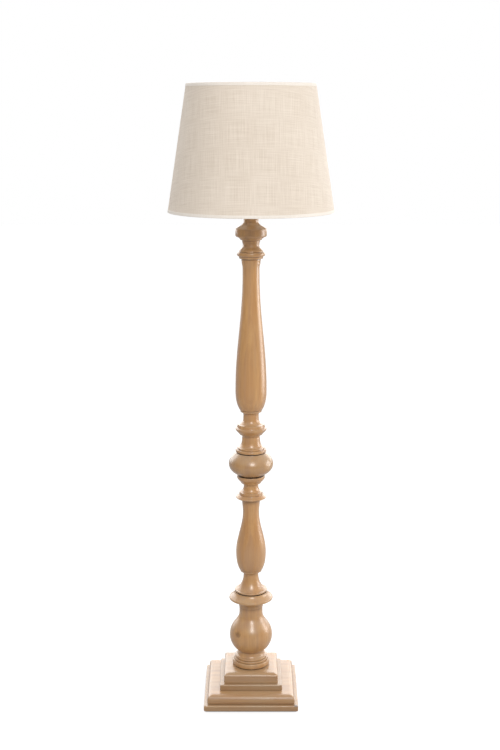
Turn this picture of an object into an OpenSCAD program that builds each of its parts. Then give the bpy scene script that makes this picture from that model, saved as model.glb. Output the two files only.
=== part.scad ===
// Candlestick floor lamp: turned timber column on a stepped square plinth, with a
// tapered drum shade carried by a ring on the lampholder. Millimetres, +Z up, the
// origin on the floor under the middle of the plinth, the front towards -Y.

/* [Plinth] */
// Side of the bottom slab
slab_w = 254; // [230:1:300]
// Thickness of the bottom slab
slab_h = 15.5; // [14:0.5:24]
// Side of the moulded layer at its nose
moulding_w = 236; // [215:1:250]
// Thickness of the moulded layer
moulding_h = 24; // [20:0.5:32]
// How far the moulding's bevel runs in from its nose
bevel_in = 17; // [8:0.5:24]
// Height of the moulding's bevel
bevel_h = 9; // [5:0.5:14]
// Side of the plain step
step_w = 168.5; // [150:0.5:190]
// Thickness of the plain step
step_h = 16; // [12:0.5:24]
// Side of the top block
block_w = 146; // [130:1:160]
// Thickness of the top block
block_h = 27; // [22:0.5:36]
// How far the top block's rounded shoulder runs in
shoulder_in = 14; // [6:0.5:18]
// Height of the top block's rounded shoulder
shoulder_h = 8; // [4:0.5:12]
// Radius that eases the plain edges
edge_r = 2.5; // [1:0.25:4]

/* [Underside] */
// Thickness of the felt under the slab
felt_h = 2; // [1:0.5:4]
// How far the felt stays in from the slab's edge
felt_in = 4; // [2:0.5:10]
// Outer diameter of the ballast ring
ballast_d = 206; // [160:1:216]
// Thickness of the ballast ring
ballast_h = 8; // [5:0.5:10]
// Diameter of the pocket under the column
pocket_d = 64; // [50:1:80]
// Timber left between the pocket and the moulded layer's top
pocket_roof = 8; // [5:0.5:12]
// Bore of the cable bush in the rear of the plinth
inlet_d = 7; // [5:0.5:9]
// Height of the cable bush's axis above the moulded layer's foot
inlet_z = 9; // [8:0.5:14]

/* [Urn] */
// Diameter of the urn's foot
urn_foot_d = 102; // [90:1:120]
// Height of the urn's foot disc
urn_foot_h = 12; // [8:0.5:16]
// Diameter of the lower ring over the foot
urn_ring_d = 93.5; // [84:0.5:100]
// Diameter of the upper ring over the foot
urn_bead_d = 87; // [78:0.5:92]
// Diameter of the waist under the bulb
urn_waist_d = 70; // [60:1:80]
// Diameter of the urn's bulb
urn_bulb_d = 116.4; // [100:0.2:130]
// Height of the bulb's round underside
urn_bulb_low = 51; // [40:1:65]
// Height of the bulb's ogee up to the neck
urn_bulb_top = 65; // [50:1:85]
// Diameter of the urn's neck
urn_neck_d = 63.6; // [50:0.2:75]
// Height of the urn's plain neck
urn_neck_h = 19; // [10:1:30]
// Diameter of the urn's lip
urn_lip_d = 119; // [100:1:135]
// Height of the hollow under the lip
urn_flare_h = 21.5; // [10:0.5:28]
// Height of the slope from the lip up to the joint
urn_cap_h = 14; // [10:0.5:24]

/* [Lower baluster] */
// Diameter of the lower baluster's bell foot
bell_d = 87.6; // [76:0.2:96]
// Height of the bell over the foot
bell_h = 43; // [30:1:55]
// Diameter of the narrow neck over the bell
bell_neck_d = 40.4; // [36:0.2:48]
// Diameter of the band under the lower vase
vase_ring_d = 55; // [48:0.5:62]
// Diameter of the lower vase
vase_d = 81; // [70:0.5:95]
// Height of the lower vase's round underside
vase_low = 46.8; // [35:0.2:65]
// Height of the lower vase's taper
vase_top = 116; // [90:1:140]
// Diameter where the lower vase is thinnest
vase_neck_d = 43.6; // [38:0.2:50]
// Height of the lower vase's neck up to the bead
vase_rise_h = 33; // [20:1:40]
// Diameter of the sharp bead over the lower vase
bead_d = 81.4; // [68:0.2:90]
// Height of the sharp bead
bead_h = 13.2; // [8:0.1:18]
// Diameter of the fillet on the sharp bead
bead_ring_d = 62.6; // [54:0.2:66]
// Diameter of the cove between bead and bowl
cove_d = 39.2; // [34:0.2:46]
// Height of that cove
cove_h = 17; // [10:0.5:24]
// Diameter of the bowl that carries the ball
bowl_d = 75.2; // [66:0.2:84]
// Height of the bowl's round underside
bowl_h = 15.5; // [8:0.5:20]
// Height of the bowl's plain band
bowl_band_h = 3; // [2:0.5:8]

/* [Ball] */
// Diameter of the squashed ball
ball_d = 118.8; // [100:0.2:140]
// Height of the ball under its widest line
ball_low = 30; // [24:0.5:45]
// Height of the ball over its widest line
ball_top = 31.2; // [20:0.2:40]
// Diameter of the ball's upper seat
ball_seat_d = 80; // [70:0.5:90]

/* [Upper baluster] */
// Diameter of the upper baluster's foot
foot_d = 82; // [72:0.5:92]
// Diameter of the fillet on that foot
foot_ring_d = 72.8; // [64:0.2:78]
// Diameter of the cove over that foot
foot_cove_d = 46.6; // [40:0.2:54]
// Height of that cove
foot_cove_h = 28; // [18:0.5:38]
// Diameter of the sharp rim over the cove
rim_d = 83.2; // [72:0.2:94]
// Height of the bowl under the sharp rim
rim_h = 12.8; // [8:0.2:18]
// Diameter of the neck between rim and long vase
rim_neck_d = 40.8; // [36:0.2:48]
// Height of that neck
rim_neck_h = 9.5; // [6:0.5:28]
// Diameter of the long vase
shaft_d = 82.4; // [70:0.2:96]
// Height of the long vase's round underside
shaft_low = 48.8; // [30:0.1:60]
// Height of the long taper
shaft_top = 302; // [240:1:360]
// Diameter where the long taper is thinnest
shaft_neck_d = 44.2; // [38:0.2:50]
// Diameter of the bead over the long taper
collar_d = 73.4; // [62:0.2:82]
// Height of that bead
collar_h = 11; // [7:0.5:16]
// Diameter of the cove over that bead
collar_cove_d = 43.8; // [38:0.2:50]
// Height of that cove
collar_cove_h = 12; // [8:0.5:20]
// Diameter of the candle cup's band
cup_d = 82; // [70:0.5:92]
// Height of the candle cup's band
cup_h = 16; // [10:0.5:22]
// Height of the hollow over the candle cup
cup_hollow_h = 17; // [10:0.5:24]
// Diameter of the neck over the candle cup
top_neck_d = 38.8; // [36:0.2:46]
// Height of the neck over the candle cup
top_neck_h = 41; // [25:1:60]

/* [Joints in the column] */
// Depth of the shadow groove at each joint
groove_in = 3; // [1:0.25:5]
// Height of the shadow groove at each joint
groove_h = 2.5; // [1:0.25:4]
// Diameter of the spigots that centre the turned pieces
spigot_d = 28; // [24:1:34]
// Length of those spigots
spigot_h = 8; // [5:0.5:12]
// Outer diameter of the lamp tube
tube_d = 10; // [8:0.5:12]
// Wall of the lamp tube
tube_wall = 1.1; // [0.8:0.1:1.6]

/* [Lampholder] */
// Outer diameter of the lampholder
holder_d = 39.6; // [38:0.2:44]
// Height of the lampholder's cup
holder_cup_h = 25; // [22:0.5:30]
// Height of the lampholder's skirt
skirt_h = 34; // [30:0.5:40]
// Diameter of the push bar
bar_d = 5; // [4:0.25:6]
// Length of the push bar
bar_len = 52; // [48:1:58]
// How far the push bar travels
bar_travel = 6; // [3:0.5:7]
// Outer diameter of the two shade rings
ring_d = 58; // [50:1:64]
// Height of each shade ring
ring_h = 8; // [6:0.5:10]

/* [Bulb] */
// Diameter of the bulb's glass
bulb_d = 60; // [50:1:68]
// Height of the bulb from end contact to crown
bulb_h = 106; // [96:1:120]
// Diameter of the screw cap
cap_d = 26.2; // [26:0.05:26.45]
// Height of the screw cap
cap_h = 22; // [20:0.5:25]

/* [Shade] */
// Outer diameter of the shade at the bottom
shade_bottom_d = 427; // [380:1:480]
// Outer diameter of the shade at the top
shade_top_d = 327; // [280:1:380]
// Height of the shade
shade_h = 320; // [280:1:360]
// How far the shade's lower rim hangs under the carrying ring
shade_drop = 62; // [45:1:80]
// Thickness of the linen
linen_t = 0.8; // [0.5:0.1:1.5]
// Thickness of the stiff liner
liner_t = 0.8; // [0.5:0.1:1.5]
// Diameter of the rim wires
wire_d = 3.2; // [2.4:0.2:4]
// Diameter of the spokes
spoke_d = 3; // [2.4:0.2:4]
// Width of the trim at each rim
trim_w = 8; // [5:0.5:12]
// Thickness of the trim
trim_t = 0.6; // [0.4:0.1:1]

/* [Hidden] */

$fn = 96;
curve_steps = 10;   // points on a short curve
long_steps = 22;    // points on a long taper
long_from = 90;     // a stretch this tall counts as long
slip = 0.15;        // clearance of parts that only locate each other
fit = 0.05;         // clearance of screws, bushes and seated metalwork
run = 0.08;         // clearance of parts that slide
cut = 1;            // how far a cut runs past the face it opens
joint_gap = 0.2;    // clearance between faces that turn on each other
run_gap = 0.6;      // clearance of the shade's plate round the lampholder
thread_gap = 0.3;   // clearance between the bulb's cap and the screw shell

// Heights of the plinth's layers
slab_z = felt_h;
moulding_z = slab_z + slab_h;
step_z = moulding_z + moulding_h;
block_z = step_z + step_h;
urn_z = block_z + block_h;
pocket_z = step_z - pocket_roof;

// Column bore, with room for the tube
bore_r = tube_d/2 + 2*slip;
spigot_r = spigot_d/2;
socket_r = spigot_r + slip;
socket_h = spigot_h + 4*slip;

// A turned outline is a list of cuts, from the bottom up. Each cut climbs by a height
// to a new radius: "line" straight, "round" as a convex quarter, "hollow" as a concave
// quarter, "ogee" as an S. An ogee may end with how full it is below and above.
cut_size = 3;        // entries of a cut that doesn't say how full it is
fillet = 3;          // height of a small flat ring
quirk = 1.2;         // how far a small ring steps out of its hollow
flare_share = 0.85;  // share of the cove over the upper foot that its hollow takes

urn_cuts = [
    [0, urn_foot_d/2 - groove_in, "line"], [groove_h, urn_foot_d/2 - groove_in, "line"],
    [0, urn_foot_d/2 - quirk, "line"], [urn_foot_h/2, urn_foot_d/2, "round"],
    [urn_foot_h/2, urn_foot_d/2 - quirk, "round"], [quirk, urn_foot_d/2 - 2*quirk, "round"],
    [0, urn_ring_d/2 - quirk, "line"],
    [fillet, urn_ring_d/2, "round"], [fillet, urn_ring_d/2 - quirk, "round"],
    [0, urn_bead_d/2 - quirk, "line"],
    [fillet, urn_bead_d/2, "round"], [fillet, urn_bead_d/2 - quirk, "round"],
    [2*fillet, urn_waist_d/2, "hollow"],
    [quirk, urn_waist_d/2, "line"],
    [urn_bulb_low, urn_bulb_d/2, "ogee", 0.02, 0.66],
    [urn_bulb_top, urn_neck_d/2, "ogee", 0.55, 0.36],
    [urn_neck_h, urn_neck_d/2, "line"],
    [0, urn_neck_d/2 + quirk, "line"],
    [urn_flare_h, urn_lip_d/2 - 2*fillet, "hollow"],
    [fillet, urn_lip_d/2, "round"], [fillet/2, urn_lip_d/2 - quirk/4, "line"],
    [fillet, urn_lip_d/2 - fillet, "round"],
    [urn_cap_h, bell_d/2 + quirk/2, "ogee", 0.02, 0.4]];

lower_cuts = [
    [0, bell_d/2 - groove_in, "line"], [groove_h, bell_d/2 - groove_in, "line"],
    [0, bell_d/2 - quirk/4, "line"], [fillet, bell_d/2, "line"],
    [quirk, bell_d/2 - quirk, "round"],
    [0, bell_d/2 - 4*quirk, "line"],
    [bell_h, bell_neck_d/2, "ogee", 0.02, 0.72],
    [3*fillet, vase_ring_d/2 - quirk, "hollow"],
    [0, vase_ring_d/2 + quirk, "line"], [2*fillet, vase_ring_d/2 + fillet, "line"],
    [0, vase_ring_d/2 + fillet - quirk/2, "line"], [quirk, vase_ring_d/2 + fillet - quirk/2, "line"],
    [0, vase_ring_d/2 + 1.5*fillet, "line"],
    [vase_low, vase_d/2, "ogee", 0.02, 0.72],
    [vase_top, vase_neck_d/2, "ogee"],
    [vase_rise_h, vase_neck_d/2 + 2*quirk, "ogee"],
    [0, vase_neck_d/2 + 3*quirk, "line"], [fillet/2, vase_neck_d/2 + 4*quirk, "line"],
    [fillet, bead_d/2 - 3*fillet, "hollow"],
    [bead_h/4, bead_d/2, "round"], [bead_h*7/12, bead_ring_d/2 + quirk, "ogee", 0.2, 0.2],
    [0, bead_ring_d/2, "line"], [2.5*fillet, bead_ring_d/2 - quirk/4, "line"],
    [0, bead_ring_d/2 - quirk, "line"],
    [cove_h, cove_d/2, "hollow"], [2.5*fillet, bowl_d/2 - 4*fillet, "hollow"],
    [0, bowl_d/2 - 3.6*fillet, "line"], [fillet/2, bowl_d/2 - 3.6*fillet, "line"],
    [bowl_h, bowl_d/2, "ogee", 0.1, 0.4], [bowl_band_h, bowl_d/2, "line"],
    [quirk, bowl_d/2 - quirk, "round"]];

ball_cuts = [
    [0, bowl_d/2 - fillet - groove_in, "line"], [groove_h, bowl_d/2 - fillet - groove_in, "line"],
    [0, bowl_d/2 - fillet, "line"], [ball_low, ball_d/2, "ogee", 0.02, 0.7],
    [ball_top, ball_seat_d/2, "ogee", 0.42, 0.12]];

upper_cuts = [
    [0, foot_d/2 - groove_in, "line"], [groove_h, foot_d/2 - groove_in, "line"],
    [0, foot_d/2 - quirk, "line"], [fillet, foot_d/2, "round"],
    [0.6*fillet, foot_d/2, "line"], [fillet, foot_ring_d/2 + quirk, "round"],
    [0, foot_ring_d/2, "line"], [1.5*fillet, foot_ring_d/2 - quirk/4, "line"],
    [0, foot_ring_d/2 - 2*quirk, "line"],
    [foot_cove_h*flare_share, foot_cove_d/2 + quirk/2, "hollow"],
    [foot_cove_h*(1 - flare_share), foot_cove_d/2, "ogee"],
    [2.5*fillet, rim_d/2 - 4.2*fillet, "hollow"], [0, rim_d/2 - 3.6*fillet, "line"],
    [fillet, rim_d/2 - 3.6*fillet, "line"], [0, rim_d/2 - 2.9*fillet, "line"],
    [rim_h, rim_d/2, "ogee", 0.1, 0.4], [quirk, rim_d/2, "line"],
    [1.5*fillet, rim_d/2 - 1.7*fillet, "hollow"], [2*fillet, rim_d/2 - 2*fillet, "line"],
    [0, rim_d/2 - 2*fillet - quirk, "line"],
    [5*fillet, rim_neck_d/2 + quirk/4, "hollow"], [rim_neck_h, rim_neck_d/2, "line"],
    [3.2*fillet, rim_neck_d/2 + 2*fillet, "hollow"],
    [0, rim_neck_d/2 + 2.6*fillet, "line"], [1.5*fillet, rim_neck_d/2 + 2.8*fillet, "line"],
    [0, rim_neck_d/2 + 2.4*fillet, "line"], [quirk, rim_neck_d/2 + 2.4*fillet, "line"],
    [0, rim_neck_d/2 + 3.2*fillet, "line"],
    [shaft_low, shaft_d/2, "ogee", 0.02, 0.72], [2.5*fillet, shaft_d/2, "line"],
    [shaft_top, shaft_neck_d/2, "ogee"], [6*fillet, shaft_neck_d/2, "line"],
    [6*fillet, shaft_neck_d/2 + 2*quirk, "ogee"],
    [quirk, shaft_neck_d/2 + fillet, "line"], [2*fillet, shaft_neck_d/2 + fillet, "line"],
    [0, collar_d/2 - 2*fillet, "line"], [2*fillet, collar_d/2 - 1.7*fillet, "line"],
    [0, collar_d/2 - 1.4*fillet, "line"],
    [collar_h/2, collar_d/2, "round"], [collar_h/2, collar_d/2 - fillet, "round"],
    [0, collar_d/2 - fillet - quirk, "line"], [2*fillet, collar_d/2 - 2*fillet - quirk, "round"],
    [collar_cove_h, collar_cove_d/2, "ogee", 0.1, 0.55], [2*fillet, collar_cove_d/2, "line"],
    [quirk, collar_cove_d/2 + quirk, "round"], [fillet, collar_cove_d/2 + quirk, "line"],
    [fillet, cup_d/2 - 4.4*fillet, "hollow"], [quirk, cup_d/2 - 4.2*fillet, "line"],
    [fillet, cup_d/2 - 3*fillet, "hollow"], [fillet, cup_d/2 - 2.8*fillet, "line"],
    [0, cup_d/2 - 1.8*fillet, "line"], [1.5*fillet, cup_d/2 - quirk/4, "round"],
    [cup_h/2, cup_d/2, "line"], [cup_h/2, cup_d/2 - quirk/4, "line"],
    [fillet/2, cup_d/2 - fillet/2, "round"],
    [cup_hollow_h, top_neck_d/2, "ogee", 0.1, 0.55], [top_neck_h, top_neck_d/2, "line"]];

// Total height that a list of cuts climbs
function climb(cuts, i = 0) = i >= len(cuts) ? 0 : cuts[i][0] + climb(cuts, i + 1);

lower_z = urn_z + climb(urn_cuts);
ball_z = lower_z + climb(lower_cuts);
upper_z = ball_z + climb(ball_cuts);
neck_z = upper_z + climb(upper_cuts);

// Metalwork on the lamp tube
washer_h = 2;
washer_d = 40;
nut_h = 5;
nut_flats = 17;
tube_tail = 5;
nut_z = pocket_z - washer_h - nut_h;
tube_bottom_z = nut_z - tube_tail;
neck_cap_h = 3;
neck_cap_lip = 1.5;
neck_nut_h = 4;
neck_nut_flats = 15;
holder_z = neck_z + neck_cap_h + neck_nut_h;
tube_grip = 7;
tube_top_z = holder_z + tube_grip;

// Lampholder
holder_r = holder_d/2;
holder_wall = 1.6;
holder_floor = 3;
boss_r = neck_nut_flats/2 + holder_wall;
bar_z = holder_z + tube_grip + bar_d/2 + 2*holder_wall;
bar_tip = 1;             // rounding at the push bar's ends
insert_h = 9;
insert_seat = 1.4;       // how far the cup steps in under the insert
skirt_z = holder_z + holder_cup_h;
insert_z = skirt_z - insert_h;
skirt_wall = 2.1;
skirt_lip = 1.2;         // bevel round the skirt's mouth
shell_t = 0.5;
shell_r = cap_d/2 + thread_gap;
shell_hole_r = 5;        // hole in the shell's floor, round the centre contact
contact_d = 8;
contact_head_d = 6;
contact_head_h = 1;
contact_neck_d = 4;
contact_h = 5;
cap_bare = 3;            // height of the bulb's cap that stays over the shell
shell_h = contact_h + cap_h - cap_bare;

// Bulb
tip_z = skirt_z + contact_h + joint_gap/2;
tip_h = 1.5;             // height of the bulb's end contact
tip_round = 1;
tip_d = 8;
cap_foot_d = 10;         // where the cap's cone starts, round the end contact
cap_cone_h = 3;
cap_step = 1;            // bevel between the cap's cone and its thread
glass_in = 0.3;          // how far the glass stays in from the cap's edge
glass_flare = 1.4;       // how far it swells over the cap
glass_flare_h = 2;

// Shade rings and the shade that hangs between them
ring_over = 6;           // how far the lower ring sits over the skirt's foot
ring_r = ring_d/2;
grip_in = 2;             // how far the rings' grip stays in from their flange
grip_r = ring_r - grip_in;
lower_ring_z = skirt_z + ring_over;
ring_flange = 2;
flute_r = 1.6;           // flutes of the rings' grip
flute_out = 0.6;         // how far outside the grip a flute is centred
flute_stop = 0.5;        // how far under the flange a flute ends
carrier_z = lower_ring_z + ring_h + joint_gap/2;
carrier_h = 1.6;
plate_lip = 1;           // how far the carrier's plate stands out from the rings
plate_r = ring_r + plate_lip;
spoke_bend = 4;          // how far outside the rings the spokes bend down
upper_ring_z = carrier_z + carrier_h + joint_gap/2;
shade_z = carrier_z - shade_drop;
shade_top_z = shade_z + shade_h;
spoke_count = 3;
spoke_start = 90;
flutes = 24;
skin = linen_t + liner_t;
lean = atan2((shade_bottom_d - shade_top_d)/2, shade_h);
wire_r = wire_d/2;
wire_in = (wire_r + fit)/cos(lean);   // from the liner to the wire's centre
wire_up = trim_t + fit + wire_r;      // from a rim to the wire's centre

// Fasteners
screw_r = 2.2;
screw_head_r = 4.2;
screw_head_h = 2.6;
slab_screw_at = 102;
slab_screw_len = 30;
block_screw_at = 42;
block_screw_len = 56;
ballast_screw_at = (pocket_d + ballast_d)/4;
ballast_screw_len = 13;

// Cable bush
bush_wall = 1.5;
bush_flange = 3;
bush_flange_h = 1.6;
bush_len = 14;
inlet_r = inlet_d/2;
bush_z = moulding_z + inlet_z;
nose_share = 0.45;       // how high up the plain part of the moulding its nose lies
moulding_foot_in = 2.5;  // how far the moulding's foot stays in from its nose

function bezier(a, b, c, d, t) =
    a*pow(1 - t, 3) + 3*b*t*pow(1 - t, 2) + 3*c*t*t*(1 - t) + d*pow(t, 3);

// Points of one cut that starts at p = [radius, height]
function points_of(p, c) =
    let (n = c[0] >= long_from ? long_steps : curve_steps, dz = c[0], dr = c[1] - p[0],
        out = dr > 0)
    c[2] == "line" ? [[c[1], p[1] + dz]] :
    [for (i = [1:n]) let (t = i/n, a = 90*t)
        c[2] == "round" ? (out ? [p[0] + dr*sin(a), p[1] + dz*(1 - cos(a))]
                               : [c[1] - dr*cos(a), p[1] + dz*sin(a)]) :
        c[2] == "hollow" ? (out ? [p[0] + dr*(1 - cos(a)), p[1] + dz*sin(a)]
                                : [p[0] + dr*sin(a), p[1] + dz*(1 - cos(a))]) :
        len(c) > cut_size ? bezier(p, p + [0, dz*c[3]], [c[1], p[1] + dz*(1 - c[4])],
                            [c[1], p[1] + dz], t) :
        [p[0] + dr*(1 - cos(180*t))/2, p[1] + dz*t]];

// Points of a whole list of cuts
function trace(cuts, p = [0, 0], i = 0) = i >= len(cuts) ? [] :
    let (s = points_of(p, cuts[i])) concat(s, trace(cuts, s[len(s) - 1], i + 1));

// A turned piece with a spigot under it, a bore through it and a socket in its top
module turned(cuts, socket = true) {
    top = climb(cuts);
    rotate_extrude() polygon(concat(
        [[bore_r, -spigot_h], [spigot_r, -spigot_h], [spigot_r, 0]],
        trace(cuts),
        socket ? [[socket_r, top], [socket_r, top - socket_h]] : [],
        [[bore_r, socket ? top - socket_h : top]]));
}

// A square layer whose four sides carry one moulded edge, mitred at the corners.
// The cuts are the same as for turning, with half the width in the radius's place.
module moulded_square(cuts) {
    half = trace(cuts);
    n = len(half);
    width = 2*max([for (p = half) p[0]]) + 2*cut;
    outline = concat(half, [for (i = [n - 1:-1:0]) [-half[i][0], half[i][1]]]);
    intersection() {
        rotate([90, 0, 0]) linear_extrude(width, center = true) polygon(outline);
        rotate([90, 0, 90]) linear_extrude(width, center = true) polygon(outline);
    }
}

// A ring between two radii
module ring(r_in, r_out, h) {
    rotate_extrude() polygon([[r_in, 0], [r_out, 0], [r_out, h], [r_in, h]]);
}

// Four places at the corners of a square, or on its axes
module at_corners(d) {
    for (x = [-d, d], y = [-d, d]) translate([x, y, 0]) children();
}

module screw(len, slack = 0) {
    rotate_extrude($fn = 48) polygon([[0, 0], [screw_head_r + slack, 0],
        [screw_r + slack, screw_head_h], [screw_r + slack, len + slack], [0, len + slack]]);
}

module base_felt() {
    side = slab_w - 2*felt_in;
    color("dimgray") translate([-side/2, -side/2, 0]) cube([side, side, felt_h]);
}

module plinth_slab() {
    half = slab_w/2;
    cuts = [[0, half - edge_r, "line"], [edge_r, half, "round"],
        [slab_h - 2*edge_r, half, "line"], [edge_r, half - edge_r, "round"]];
    color("tan") translate([0, 0, slab_z]) difference() {
        moulded_square(cuts);
        translate([0, 0, -cut]) cylinder(r = ballast_d/2 + slip, h = ballast_h + cut);
        cylinder(d = pocket_d, h = slab_h + cut);
        translate([0, 0, ballast_h - cut]) for (a = [45:90:315]) rotate(a)
            translate([ballast_screw_at, 0, 0]) cylinder(r = screw_r + fit, h = slab_h, $fn = 48);
        at_corners(slab_screw_at) screw_hole(slab_screw_len);
    }
}

module screw_hole(len) {
    screw(len, fit);
    translate([0, 0, -cut]) cylinder(r = screw_head_r + fit, h = cut, $fn = 48);
}

module plinth_moulding() {
    half = moulding_w/2;
    plain = moulding_h - bevel_h;
    cuts = [[0, half - moulding_foot_in, "line"],
        [plain*nose_share, half, "round"], [plain*(1 - nose_share), half - quirk, "round"],
        [bevel_h, half - bevel_in, "round"]];
    color("tan") translate([0, 0, moulding_z]) difference() {
        moulded_square(cuts);
        translate([0, 0, -cut]) cylinder(d = pocket_d, h = pocket_z - moulding_z + cut);
        cylinder(r = bore_r, h = moulding_h + cut);
        translate([0, 0, -slab_h]) at_corners(slab_screw_at) screw(slab_screw_len, fit);
        at_corners(block_screw_at) screw_hole(block_screw_len);
        translate([0, 0, inlet_z]) rotate([-90, 0, 0]) cylinder(r = inlet_r + bush_wall + fit, h = half);
    }
}

module plinth_step() {
    half = step_w/2;
    cuts = [[0, half - edge_r/2, "line"], [edge_r/2, half, "round"],
        [step_h - 1.5*edge_r, half, "line"], [edge_r, half - edge_r, "round"]];
    color("tan") translate([0, 0, step_z]) difference() {
        moulded_square(cuts);
        translate([0, 0, -cut]) cylinder(r = bore_r, h = step_h + 2*cut);
        translate([0, 0, -moulding_h]) at_corners(block_screw_at) screw(block_screw_len, fit);
    }
}

module plinth_block() {
    half = block_w/2;
    cuts = [[0, half - edge_r/2, "line"], [edge_r/2, half, "round"],
        [block_h - shoulder_h - edge_r/2, half, "line"], [shoulder_h, half - shoulder_in, "round"]];
    color("tan") translate([0, 0, block_z]) difference() {
        moulded_square(cuts);
        translate([0, 0, -cut]) cylinder(r = bore_r, h = block_h + 2*cut);
        translate([0, 0, block_h - socket_h]) cylinder(r = socket_r, h = socket_h + cut);
        translate([0, 0, -moulding_h - step_h]) at_corners(block_screw_at) screw(block_screw_len, fit);
    }
}

module ballast_ring() {
    color("dimgray") translate([0, 0, slab_z]) difference() {
        ring(pocket_d/2, ballast_d/2, ballast_h - fit);
        for (a = [45:90:315]) rotate(a) translate([ballast_screw_at, 0, 0]) screw_hole(ballast_h + cut);
    }
}

module ballast_screws() {
    color("silver") translate([0, 0, slab_z]) for (a = [45:90:315]) rotate(a)
        translate([ballast_screw_at, 0, 0]) screw(ballast_screw_len);
}

module slab_screws() {
    color("silver") translate([0, 0, slab_z]) at_corners(slab_screw_at) screw(slab_screw_len);
}

module block_screws() {
    color("silver") translate([0, 0, moulding_z]) at_corners(block_screw_at) screw(block_screw_len);
}

module cable_bush() {
    tail = moulding_w/2 - moulding_foot_in;
    color("saddlebrown") translate([0, tail - bush_len, bush_z]) rotate([-90, 0, 0])
        rotate_extrude() polygon([[inlet_r, 0], [inlet_r + bush_wall, 0],
            [inlet_r + bush_wall, bush_len + moulding_foot_in],
            [inlet_r + bush_flange, bush_len + moulding_foot_in],
            [inlet_r + bush_flange, bush_len + moulding_foot_in + bush_flange_h/2],
            [inlet_r + bush_wall, bush_len + moulding_foot_in + bush_flange_h],
            [inlet_r, bush_len + moulding_foot_in + bush_flange_h]]);
}

module urn() { color("burlywood") translate([0, 0, urn_z]) turned(urn_cuts); }
module lower_baluster() { color("burlywood") translate([0, 0, lower_z]) turned(lower_cuts); }
module ball() { color("tan") translate([0, 0, ball_z]) turned(ball_cuts); }
module upper_baluster() {
    color("burlywood") translate([0, 0, upper_z]) turned(upper_cuts, socket = false);
}

module lamp_tube() {
    color("gold") translate([0, 0, tube_bottom_z])
        ring(tube_d/2 - tube_wall, tube_d/2, tube_top_z - tube_bottom_z);
}

module hex_nut(flats, h) {
    difference() {
        cylinder(d = flats/cos(30), h = h, $fn = 6);
        translate([0, 0, -cut]) cylinder(r = tube_d/2 + fit, h = h + 2*cut);
    }
}

module base_washer() {
    color("silver") translate([0, 0, pocket_z - washer_h]) ring(tube_d/2 + slip, washer_d/2, washer_h);
}

module base_nut() { color("silver") translate([0, 0, nut_z]) hex_nut(nut_flats, nut_h); }

module neck_cap() {
    rim = top_neck_d/2 + neck_cap_lip;
    color("gold") translate([0, 0, neck_z]) rotate_extrude() polygon(concat(
        [[tube_d/2 + slip, 0], [rim, 0]],
        trace([[0, rim, "line"], [neck_cap_h/2, rim - neck_cap_lip/2, "round"],
            [neck_cap_h/2, rim - 3*neck_cap_lip, "hollow"]]),
        [[tube_d/2 + slip, neck_cap_h]]));
}

module neck_nut() {
    color("gold") translate([0, 0, neck_z + neck_cap_h]) hex_nut(neck_nut_flats, neck_nut_h);
}

module holder_cup() {
    wide = holder_r - holder_wall;
    narrow = wide - insert_seat;
    bowl = 2*holder_floor;
    color("gold") translate([0, 0, holder_z]) difference() {
        rotate_extrude() polygon(concat(
            [[tube_d/2 + fit, 0], [boss_r, 0]],
            trace([[0, boss_r, "line"], [holder_floor/2, boss_r, "line"],
                [bowl, holder_r, "round"], [holder_cup_h - bowl - holder_floor/2, holder_r, "line"]]),
            [[wide, holder_cup_h], [wide, holder_cup_h - insert_h],
                [narrow, holder_cup_h - insert_h], [narrow, bowl + holder_floor/2],
                [boss_r, holder_floor], [tube_d/2 + fit, holder_floor]]));
        translate([0, 0, bar_z - holder_z]) rotate([0, 90, 0])
            cylinder(r = bar_d/2 + run, h = 2*holder_d, center = true);
    }
}

module switch_bar() {
    r = bar_d/2;
    color("gold") translate([-(bar_len + bar_travel)/2, 0, bar_z])
        rotate([0, 90, 0]) rotate_extrude() polygon(concat([[0, 0]],
            trace([[0, r - bar_tip, "line"], [bar_tip, r, "round"],
                [bar_len - 2*bar_tip, r, "line"], [bar_tip, r - bar_tip, "round"]]),
            [[0, bar_len]]));
}

module holder_insert() {
    r = holder_r - holder_wall - slip;
    color("white") translate([0, 0, insert_z]) ring(contact_d/2 + slip, r, insert_h);
}

module screw_shell() {
    color("gold") translate([0, 0, skirt_z]) rotate_extrude() polygon([
        [shell_hole_r, 0], [shell_r + shell_t, 0], [shell_r + shell_t, shell_h],
        [shell_r, shell_h], [shell_r, shell_t], [shell_hole_r, shell_t]]);
}

module centre_contact() {
    shoulder_r = shell_hole_r - 2*slip;
    head_z = insert_h + contact_h - contact_head_h;
    color("gold") translate([0, 0, insert_z]) rotate_extrude() polygon([
        [0, 0], [contact_d/2, 0], [contact_d/2, insert_h], [shoulder_r, insert_h],
        [shoulder_r, insert_h + shell_t], [contact_neck_d/2, insert_h + shell_t],
        [contact_neck_d/2, head_z], [contact_head_d/2, head_z],
        [contact_head_d/2, insert_h + contact_h], [0, insert_h + contact_h]]);
}

module holder_skirt() {
    bore_r = holder_r - skirt_wall;
    foot_r = shell_r + shell_t + slip;
    color("gold") translate([0, 0, skirt_z]) rotate_extrude() polygon([
        [foot_r, 0], [holder_r, 0], [holder_r, skirt_h - skirt_lip],
        [holder_r - skirt_lip, skirt_h], [bore_r, skirt_h], [bore_r, 2*shell_t],
        [foot_r, 2*shell_t]]);
}

// A shade ring: a fluted grip with a flange towards the shade
module shade_ring() {
    grip_h = ring_h - ring_flange;
    difference() {
        rotate_extrude() polygon([[holder_r + fit, 0], [grip_r, 0], [grip_r, grip_h],
            [ring_r, grip_h], [ring_r, ring_h], [holder_r + fit, ring_h]]);
        for (i = [1:flutes]) rotate(360*(i + 1/2)/flutes) translate([grip_r + flute_out, 0, -cut])
            cylinder(r = flute_r, h = grip_h - flute_stop + cut, $fn = 16);
    }
}

module lower_shade_ring() { color("gold") translate([0, 0, lower_ring_z]) shade_ring(); }

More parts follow.
